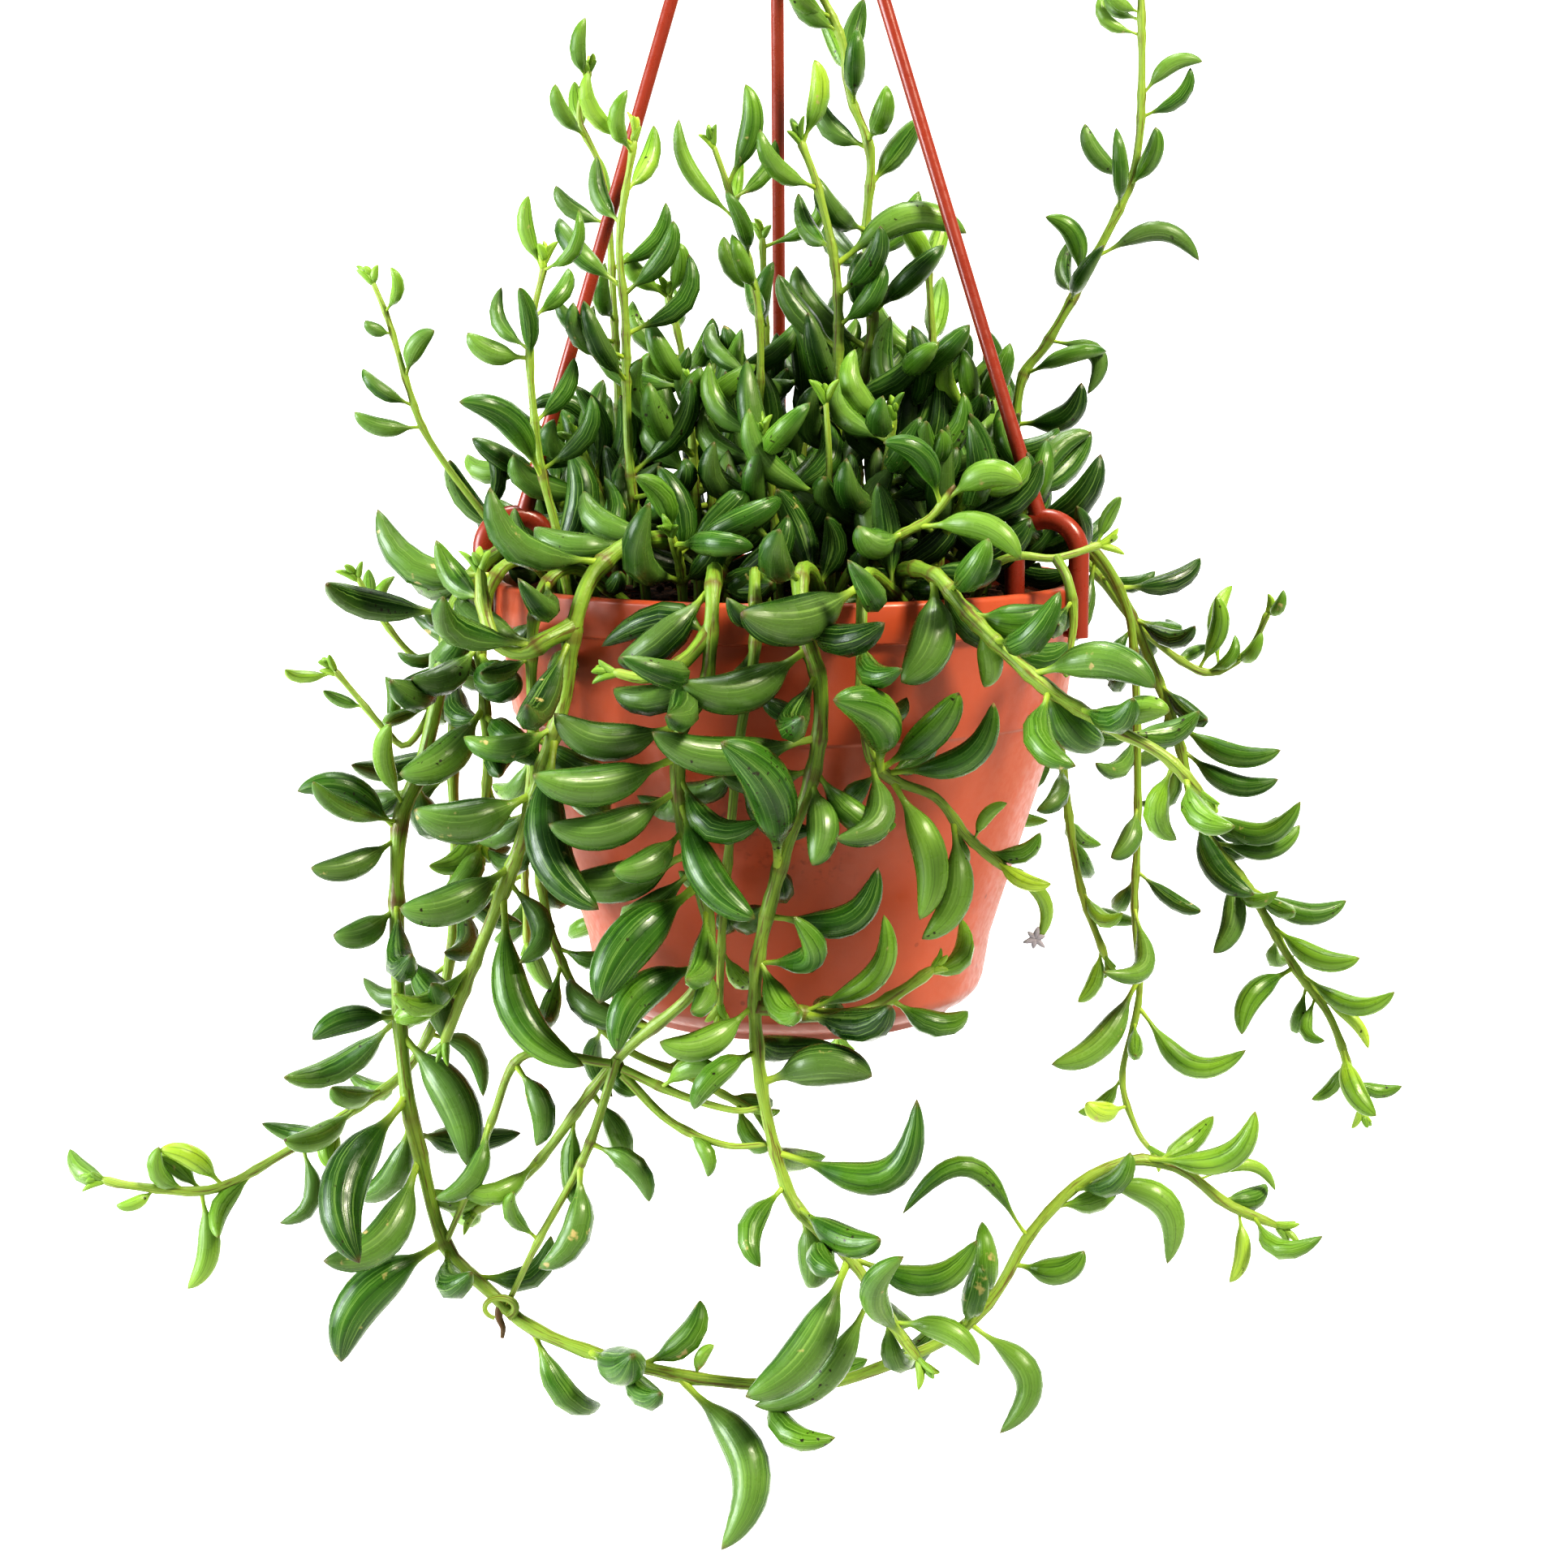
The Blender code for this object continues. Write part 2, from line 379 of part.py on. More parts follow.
def pot_is_clear(points, radii):
    """Whether balls at these points stay out of the pot, its soil and the space close under its foot."""
    out = np.hypot(points[:, 0], points[:, 1])
    depth = -points[:, 2]
    reach = radii + CLEARANCE
    beside = out > pot_outline(np.clip(depth, 0, POT_HEIGHT)) + reach
    above = depth < -reach
    inside = (out < RIM_RADIUS - LIP_WALL - reach) & (depth < SOIL_DEPTH - reach)
    below = depth > POT_HEIGHT + 14 + reach
    return bool(np.all(beside | above | inside | below))


class Garden:
    """Everything that is already placed, as balls along its centre lines."""

    def __init__(self):
        self.balls = np.zeros((0, 4))
        self.owners = np.zeros(0, int)

    def add(self, points, radii, owner):
        """Fill the space of a tube with these centre points and radii."""
        radii = np.broadcast_to(radii, len(points))
        self.balls = np.vstack([self.balls, np.column_stack([points, radii])])
        self.owners = np.concatenate([self.owners, np.full(len(points), owner)])

    def is_clear(self, points, radii, owner, base):
        """Whether the balls touch nothing, apart from their own stem close to their base."""
        own = (self.owners == owner) & (np.linalg.norm(self.balls[:, :3] - base, axis=1) < BASE_ALLOWANCE)
        others = self.balls[~own]
        apart = np.linalg.norm(points[:, None] - others[None, :, :3], axis=2)
        return bool(np.all(apart > radii[:, None] + others[None, :, 3] + CLEARANCE))


def front_bow(base, tip, bow):
    """A bow to the left of the way from base to tip, as seen from the front."""
    way = tip - base
    return bow * np.array([-way[2], 0.0, way[0]])


def try_leaf(garden, owner, base, tip, width, bow, listed):
    """Place the leaf if it is clear of everything, and return it, or None."""
    at = np.linspace(0.16, 1, LEAF_SAMPLES)
    points = leaf_line(base, tip, bow, at)
    radii = leaf_radius(width, at)
    if not pot_is_clear(points, radii) or not garden.is_clear(points, radii, owner, base):
        return None
    garden.add(points, radii, owner)
    return base, tip, width, bow, listed


def listed_leaves(garden, owner, stem, line):
    """The leaves given by hand, each moved a little where something is in its way."""
    placed = []
    for near, tip, width, bow in stem.leaves:
        base = line[np.argmin(np.hypot(line[:, 0] - near[0], line[:, 2] - near[1]))]
        tip = np.array(tip, float)
        for forward, scale in ((0, 1), (-5, 1), (5, 1), (-10, 0.95), (10, 0.95), (-3, 0.8), (4, 0.8), (-15, 0.85), (0, 0.6)):
            moved = base + (tip + (0, forward, 0) - base) * scale
            leaf = try_leaf(garden, owner, base, moved, width * scale**0.5, front_bow(base, moved, bow), True)
            if leaf:
                placed.append(leaf)
                break
    return placed


def spiral_leaves(garden, owner, stem, line):
    """Leaves in a spiral up the stem, turned aside or made smaller where something is in their way."""
    placed = []
    rng = np.random.default_rng(owner)
    along = np.concatenate([[0], np.cumsum(np.linalg.norm(np.diff(line, axis=0), axis=1))])
    length = along[-1]
    phase = rng.uniform(0, 2 * pi)
    for number, s in enumerate(np.arange(stem.bare, length - 0.5, SPACING_SHARE * stem.spacing)):
        k = int(np.searchsorted(along, s))
        k = min(max(k, 1), len(line) - 2)
        base = line[k]
        ahead = unit(line[k + 1] - line[k - 1])
        side = unit(np.cross(ahead, (0.31, 0.95, 0.05)))
        other = np.cross(ahead, side)
        age = s / length
        size = stem.leaf_length * (1 - 0.45 * age) * rng.uniform(0.82, 1.12)
        lean = radians(68 - 28 * age)
        for turn, scale in ((0, 1), (0.7, 1), (-0.7, 1), (1.5, 0.9), (-1.5, 0.9), (2.4, 0.85), (3.1, 0.8),
                            (0.3, 0.65), (2.0, 0.65), (-2.0, 0.65), (3.1, 0.5), (0.9, 0.45)):
            angle = phase + number * GOLDEN_ANGLE + turn
            outward = side * cos(angle) + other * sin(angle)
            way = unit(outward * sin(lean) + ahead * cos(lean) + np.array([0, 0, 0.25]))
            reach = size * scale
            if reach < LEAST_LEAF:
                continue
            droop = unit(np.array([0.0, 0.0, -1.0]) + 0.6 * outward)
            droop = unit(droop - way * (droop @ way))
            tip = base + way * reach
            width = stem.leaf_width * (1 - 0.35 * age) * scale**0.5
            leaf = try_leaf(garden, owner, base, tip, width, droop * reach * rng.uniform(0.1, 0.2), False)
            if leaf:
                placed.append(leaf)
                break
    return placed


def arm_direction(azimuth):
    """The unit vector outwards from the pot's axis at this azimuth in degrees."""
    return np.array([cos(radians(azimuth)), sin(radians(azimuth)), 0.0])


def arm_lines(azimuth):
    """The centre lines of one hanger arm: the rod from hub to clip, and the clip over the rim."""
    out = arm_direction(azimuth)
    up = np.array([0.0, 0.0, 1.0])
    top = np.array([*HUB_CENTRE, HUB_BOTTOM - ARM_RADIUS]) + out * ARM_TOP_SPREAD
    foot = out * ARM_FOOT_RADIUS + up * CLIP_TOP
    middle = (CLIP_OUTER_RADIUS + CLIP_INNER_RADIUS) / 2
    half = (CLIP_OUTER_RADIUS - CLIP_INNER_RADIUS) / 2
    clip = [out * CLIP_INNER_RADIUS + up * SOIL_TOP]
    for angle in np.linspace(pi, 0, 9):
        clip.append(out * (middle + half * cos(angle)) + up * (CLIP_TOP - half + half * sin(angle)))
    clip.append(out * CLIP_OUTER_RADIUS + up * (BARB_LEVEL - 0.6))
    return np.array([top, foot]), np.array(clip)


def grow(stems):
    """Place every stem and leaf. Returns, for each stem, its centre lines and its leaves."""
    garden = Garden()
    for azimuth in ARM_AZIMUTHS.values():
        for line in arm_lines(azimuth):
            garden.add(smooth_line(line, CURVE_STEP), ARM_RADIUS + 0.3, -1)
    lines = {}
    for owner, (name, stem) in enumerate(stems.items()):
        lines[name] = [stem_line(stem.route, CURVE_STEP)]
        lines[name] += [smooth_line(route, CURVE_STEP) for route in stem.branches]
        for line in lines[name]:
            garden.add(line, stem.radius, owner)
    leaves = {}
    for owner, (name, stem) in enumerate(stems.items()):
        leaves[name] = listed_leaves(garden, owner, stem, np.vstack(lines[name]))
    for owner, (name, stem) in enumerate(stems.items()):
        for line in lines[name]:
            leaves[name] += spiral_leaves(garden, owner, stem, line)
    return lines, leaves


def crown_stems():
    """The short stems of the crown, which rise from the soil and lean outwards."""
    stems = {}
    for number, (x, y, lean_x, lean_y, height) in enumerate(CROWN, 1):
        route = [(x, y, SOIL_TOP), (x + 0.25 * lean_x, y + 0.25 * lean_y, 0.45 * height),
                 (x + lean_x, y + lean_y, height)]
        stems[f"crown_{number:02d}"] = Stem(route=route, radius=1.2, leaf_length=CROWN_LEAF[0],
                                            leaf_width=CROWN_LEAF[1], spacing=5.0, bare=6.0)
    return stems


def material(name, colour, roughness, metallic=0.0):
    """A material with one Principled BSDF."""
    found = bpy.data.materials.get(name)
    if found:
        return found
    made = bpy.data.materials.new(name)
    made.use_nodes = True
    shader = made.node_tree.nodes["Principled BSDF"]
    shader.inputs["Base Color"].default_value = (*colour, 1.0)
    shader.inputs["Roughness"].default_value = roughness
    shader.inputs["Metallic"].default_value = metallic
    return made


def add_object(name, data, collection):
    """A new object of this data in the collection, at the height of the rim under the hook."""
    made = bpy.data.objects.new(name, data)
    made.location = (0, 0, -HOOK_HEIGHT * MM)
    collection.objects.link(made)
    return made


def tube_curve(name, tubes, resolution):
    """A curve of tubes, each a list of points and radii in millimetres, with filled ends."""
    curve = bpy.data.curves.new(name, "CURVE")
    curve.dimensions = "3D"
    curve.bevel_depth = MM
    curve.bevel_resolution = resolution
    curve.use_fill_caps = True
    for points, radii in tubes:
        spline = curve.splines.new("POLY")
        spline.points.add(len(points) - 1)
        radii = np.broadcast_to(radii, len(points))
        for control, point, radius in zip(spline.points, points, radii):
            control.co = (*(np.asarray(point) * MM), 1.0)
            control.radius = float(radius)
    return curve


def mesh_from(made, collection, weld=True):
    """Turn a curve object, or an object with modifiers, into a mesh object of the same name."""
    graph = bpy.context.evaluated_depsgraph_get()
    data = bpy.data.meshes.new_from_object(made.evaluated_get(graph))
    name = made.name
    bpy.data.objects.remove(made)
    if weld:
        work = bmesh.new()
        work.from_mesh(data)
        bmesh.ops.remove_doubles(work, verts=work.verts, dist=1e-6)
        bmesh.ops.recalc_face_normals(work, faces=work.faces)
        work.to_mesh(data)
        work.free()
    return add_object(name, data, collection)


def outer_body(data):
    """Keep the mesh's largest shell, so that no pocket between crossing leaves stays sealed inside."""
    work = bmesh.new()
    work.from_mesh(data)
    left = set(work.verts)
    shells = []
    while left:
        shell = set()
        edge = [next(iter(left))]
        while edge:
            vert = edge.pop()
            if vert in shell:
                continue
            shell.add(vert)
            edge.extend(link.other_vert(vert) for link in vert.link_edges)
        left -= shell
        shells.append(shell)
    shells.sort(key=len)
    for shell in shells[:-1]:
        bmesh.ops.delete(work, geom=list(shell), context="VERTS")
    work.to_mesh(data)
    work.free()
    return len(shells) - 1


def union(target, others, collection):
    """Join the other mesh objects onto the target."""
    for other in others:
        joint = target.modifiers.new("join", "BOOLEAN")
        joint.operation = "UNION"
        joint.solver = "EXACT"
        joint.use_self = True
        joint.object = other
        other.hide_render = True
    target = mesh_from(target, collection, weld=False)
    for other in others:
        bpy.data.objects.remove(other)
    dropped = outer_body(target.data)
    if dropped:
        print(f"{target.name}: {dropped} inner or loose shells left out")
    return target


def finish(made, look, smooth_angle=40):
    """Give the object its material and shade its round faces smooth."""
    made.data.materials.clear()
    made.data.materials.append(look)
    made.data.shade_smooth()
    made.data.set_sharp_from_angle(angle=radians(smooth_angle))
    return made


def turned(name, profile, collection):
    """A solid turned from (radius, height) points that run from top to bottom on its outer side."""
    data = bpy.data.meshes.new(name)
    points = [(radius * MM, 0.0, height * MM) for radius, height in profile]
    data.from_pydata(points, [(k, k + 1) for k in range(len(points) - 1)], [])
    made = add_object(name, data, collection)
    screw = made.modifiers.new("turn", "SCREW")
    screw.steps = POT_STEPS
    screw.render_steps = POT_STEPS
    screw.use_merge_vertices = True
    screw.merge_threshold = 0.00001
    return mesh_from(made, collection)


def build_pot(collection):
    """The pot: rim band, collar, tapered body, rounded heel and foot, one thin moulded wall."""
    inner_rim = RIM_RADIUS - LIP_WALL
    profile = [
        (0.0, -POT_HEIGHT + FLOOR), (FOOT_RADIUS + 1.0, -POT_HEIGHT + FLOOR), (HEEL_RADIUS - WALL, -HEEL_DEPTH),
        (WAIST_RADIUS - WALL, -WAIST_DEPTH), (COLLAR_RADIUS - 0.5 - WALL, -COLLAR_HEIGHT),
        (inner_rim, -LIP_HEIGHT), (inner_rim + 0.5, 0.0), (RIM_RADIUS - 0.6, 0.0), (RIM_RADIUS, -0.6),
        (RIM_RADIUS, -LIP_HEIGHT), (RIM_RADIUS - LIP_STEP, -LIP_HEIGHT - 0.3), (COLLAR_RADIUS, -COLLAR_HEIGHT),
        (COLLAR_RADIUS - 0.5, -COLLAR_HEIGHT - 0.5), (WAIST_RADIUS, -WAIST_DEPTH), (HEEL_RADIUS, -HEEL_DEPTH),
        (HEEL_RADIUS - 1.4, -HEEL_DEPTH - 3.2), (FOOT_RADIUS + 1.4, -POT_HEIGHT + 1.6),
        (FOOT_RADIUS, -POT_HEIGHT), (0.0, -POT_HEIGHT),
    ]
    pot = turned("pot", profile, collection)
    return finish(pot, material("Terracotta_Polypropylene", (0.56, 0.13, 0.07), 0.38))


def build_soil(collection):
    """The potting soil, which fills the pot to a little below its rim."""
    inner_rim = RIM_RADIUS - LIP_WALL
    profile = [
        (0.0, -SOIL_DEPTH), (inner_rim - GAP, -SOIL_DEPTH), (inner_rim - GAP - 0.1, -LIP_HEIGHT),
        (COLLAR_RADIUS - 0.5 - WALL - GAP, -COLLAR_HEIGHT), (WAIST_RADIUS - WALL - GAP, -WAIST_DEPTH),
        (HEEL_RADIUS - WALL - GAP, -HEEL_DEPTH + GAP), (FOOT_RADIUS + 0.4, -POT_HEIGHT + FLOOR + GAP),
        (0.0, -POT_HEIGHT + FLOOR + GAP),
    ]
    soil = turned("soil", profile, collection)
    return finish(soil, material("Peat_Soil", (0.03, 0.016, 0.009), 0.95))


def build_hook(collection):
    """The hanger's hub with the open hook that carries everything."""
    look = material("Hanger_Polypropylene", (0.34, 0.05, 0.03), 0.3)
    centre_x, centre_y = HUB_CENTRE
    bpy.ops.mesh.primitive_cone_add(
        vertices=16, radius1=HUB_RADIUS * MM, radius2=0.5 * HUB_RADIUS * MM, depth=HUB_HEIGHT * MM,
        location=(centre_x * MM, centre_y * MM, (HUB_BOTTOM + HUB_HEIGHT / 2 - HOOK_HEIGHT) * MM))
    hub = bpy.context.object
    data = hub.data
    data.transform(hub.matrix_world)
    data.transform(hub.matrix_world.Translation((0, 0, HOOK_HEIGHT * MM)))
    bpy.data.objects.remove(hub)
    hub = add_object("hanger_hook", data, collection)
    bend = HOOK_INNER_RADIUS + HOOK_WIRE_RADIUS
    bend_centre = HOOK_HEIGHT - HOOK_INNER_RADIUS
    hub_top = HUB_BOTTOM + HUB_HEIGHT
    line = [(centre_x, centre_y, hub_top - 3), (centre_x, centre_y, hub_top + 2)]
    for angle in np.linspace(radians(-90), radians(195), 16):
        line.append((bend * cos(angle), 0.0, bend_centre + bend * sin(angle)))
    wire = add_object("hook_wire", tube_curve("hook_wire", [(line, HOOK_WIRE_RADIUS)], 1), collection)
    wire = mesh_from(wire, collection)
    return finish(union(hub, [wire], collection), look)


def build_arm(side, azimuth, collection):
    """One hanger arm: a straight rod that ends in a clip over the rim, with a barb under the lip."""
    look = material("Hanger_Polypropylene", (0.34, 0.05, 0.03), 0.3)
    rod_line, clip_line = arm_lines(azimuth)
    out = arm_direction(azimuth)
    barb_out = out * (CLIP_OUTER_RADIUS + 0.5 * CLIP_WIRE_RADIUS)
    barb_in = out * (RIM_RADIUS - LIP_STEP + GAP + 0.2)
    level = (0, 0, BARB_LEVEL)
    barb_line = [barb_out + level, barb_in + level]
    parts = []
    for label, line, radius in (("rod", rod_line, ARM_RADIUS), ("clip", clip_line, CLIP_WIRE_RADIUS),
                                ("barb", barb_line, BARB_RADIUS)):
        made = add_object(label, tube_curve(label, [(line, radius)], 1), collection)
        parts.append(mesh_from(made, collection))
    parts[0].name = f"hanger_arm_{side}"
    return finish(union(parts[0], parts[1:], collection), look)


def build_stem(name, stem, lines, leaves, collection):
    """One plant stem with its leaves, as one closed body."""
    tubes = []
    for line in lines:
        few = simplified(line, STEM_TOLERANCE)
        tubes.append((few, stem.radius * np.linspace(1.0, 0.6, len(few))))
    parts = []
    for number, tube in enumerate(tubes):
        made = add_object(f"{name}_wood_{number}", tube_curve(name, [tube], 0), collection)
        parts.append(mesh_from(made, collection))
    blades = []
    for base, tip, width, bow, listed in leaves:
        rings = LISTED_RINGS if listed else SPIRAL_RINGS
        radii = leaf_radius(width, rings)
        radii[-1] = 0.0
        blades.append((leaf_line(base, tip, bow, rings), radii))
    if blades:
        made = add_object(f"{name}_leaves", tube_curve(name, blades, 0), collection)
        parts.append(mesh_from(made, collection))
    parts[0].name = name
    whole = union(parts[0], parts[1:], collection)
    return finish(whole, material(f"{name}_Leaf", stem.colour, 0.35), smooth_angle=60)


def main():
    """Build every part into one collection."""
    for old in list(bpy.data.objects):
        bpy.data.objects.remove(old)
    collection = bpy.data.collections.new("hanging_string_of_beans")
    bpy.context.scene.collection.children.link(collection)
    build_pot(collection)
    build_soil(collection)
    build_hook(collection)
    for side, azimuth in ARM_AZIMUTHS.items():
        build_arm(side, azimuth, collection)
    stems = {**TRAILS, **SHOOTS, **crown_stems()}
    lines, leaves = grow(stems)
    for name, stem in stems.items():
        build_stem(name, stem, lines[name], leaves[name], collection)
    total = sum(len(found) for found in leaves.values())
    wanted = sum(len(stem.leaves) for stem in stems.values())
    print(f"{len(stems)} stems, {total} leaves, {wanted} of them listed by hand")


main()
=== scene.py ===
"""Visual model of a hanging pot of string of beans, for Blender 4.5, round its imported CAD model.

Lengths are millimetres from the centre of the pot's rim: +X right, +Y back, +Z up. placed() turns
them into metres under the hanger's hook, which is the frame's origin. The stems follow the routes
of the CAD solids, and their leaves the same spiral, so each plant piece stands for its own node.
"""

import logging
from dataclasses import dataclass, field
from enum import Enum
from math import cos, pi, radians, sin

import bpy
import numpy as np
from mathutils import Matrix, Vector, noise


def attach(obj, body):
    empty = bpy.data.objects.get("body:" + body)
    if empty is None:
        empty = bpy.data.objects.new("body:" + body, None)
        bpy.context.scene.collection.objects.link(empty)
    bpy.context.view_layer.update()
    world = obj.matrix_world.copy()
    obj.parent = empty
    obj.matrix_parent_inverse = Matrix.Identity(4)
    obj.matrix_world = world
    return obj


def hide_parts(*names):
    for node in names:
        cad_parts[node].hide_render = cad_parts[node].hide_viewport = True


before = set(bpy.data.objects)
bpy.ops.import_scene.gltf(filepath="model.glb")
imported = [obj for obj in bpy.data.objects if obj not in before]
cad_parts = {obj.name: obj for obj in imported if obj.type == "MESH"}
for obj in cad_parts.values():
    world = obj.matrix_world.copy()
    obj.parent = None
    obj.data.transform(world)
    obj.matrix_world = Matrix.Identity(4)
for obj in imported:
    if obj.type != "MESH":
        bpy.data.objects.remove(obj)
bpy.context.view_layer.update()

logging.basicConfig(level=logging.INFO, format="%(message)s")
log = logging.getLogger("string_of_beans")

MM = 0.001
SMOOTH = {"interpolation_type": "SMOOTHSTEP"}
HOOK_HEIGHT = 206.5

# Pot and soil
RIM_RADIUS = 60.0
LIP_HEIGHT = 7.5
LIP_STEP = 1.4
LIP_WALL = 2.6
COLLAR_HEIGHT = 26.5
COLLAR_RADIUS = 56.2
WAIST_RADIUS = 41.4
WAIST_DEPTH = 72.5
HEEL_RADIUS = 40.0
HEEL_DEPTH = 81.0
FOOT_RADIUS = 33.5
POT_HEIGHT = 88.0
WALL = 1.3
FLOOR = 2.2
GAP = 0.35
SOIL_DEPTH = 5.0
SOIL_TOP = GAP - SOIL_DEPTH

# Hanger
HUB_CENTRE = (-2.5, 0.0)
HUB_BOTTOM = 172.0
ARM_AZIMUTHS = {"right": -26.0, "back": 92.0, "left": 193.0}
ARM_RADIUS = 1.35
ARM_TOP_SPREAD = 4.2
ARM_FOOT_RADIUS = 54.0
CLIP_OUTER_RADIUS = 62.2
CLIP_INNER_RADIUS = 49.0
CLIP_TOP = 13.2
BARB_RADIUS = 0.85
BARB_LEVEL = -(LIP_HEIGHT + 0.3 + GAP + BARB_RADIUS)

# Plants
GOLDEN_ANGLE = radians(137.5)
CURVE_STEP = 1.5
ROOT_HEIGHT = 2.4
LEAF_SAMPLES = 9
LEAF_POINTS = 15
LEAF_FOOT = 0.16
ASIDE = (0.31, 0.95, 0.05)
LIFT = np.array([0.0, 0.0, 0.25])
LEAN_AT_ROOT, LEAN_LOST = 68.0, 28.0
SHRINK, NARROWING = 0.45, 0.35
SIZE_CHANCE = (0.82, 1.12)
BEND_CHANCE = (0.1, 0.2)
# What is tried in turn where something is in a leaf's way: for a listed leaf how far it moves back and
# its share of the size, and for a leaf of the spiral how far it turns and that share.
LISTED_TRIES = ((0, 1), (-5, 1), (5, 1), (-10, 0.95), (10, 0.95), (-3, 0.8), (4, 0.8), (-15, 0.85), (0, 0.6))
SPIRAL_TRIES = ((0, 1), (0.7, 1), (-0.7, 1), (1.5, 0.9), (-1.5, 0.9), (2.4, 0.85), (3.1, 0.8), (0.3, 0.65),
                (2.0, 0.65), (-2.0, 0.65), (3.1, 0.5), (0.9, 0.45))
CLEARANCE = 0.45
BASE_ALLOWANCE = 7.0
LEAST_LEAF = 9.0
SPACING_SHARE = 1.5


class Growth(Enum):
    """How a stem grows."""

    TRAIL = "trail_leaf"
    SHOOT = "shoot_leaf"
    CROWN = "crown_leaf"


@dataclass
class Stem:
    """One plant stem: its route, its thickness and the leaves that grow on it."""

    route: list
    radius: float = 1.3
    leaf_length: float = 24.0
    leaf_width: float = 6.5
    spacing: float = 9.0
    bare: float = 8.0
    branches: list = field(default_factory=list)
    leaves: list = field(default_factory=list)
    youth: float = 0.0
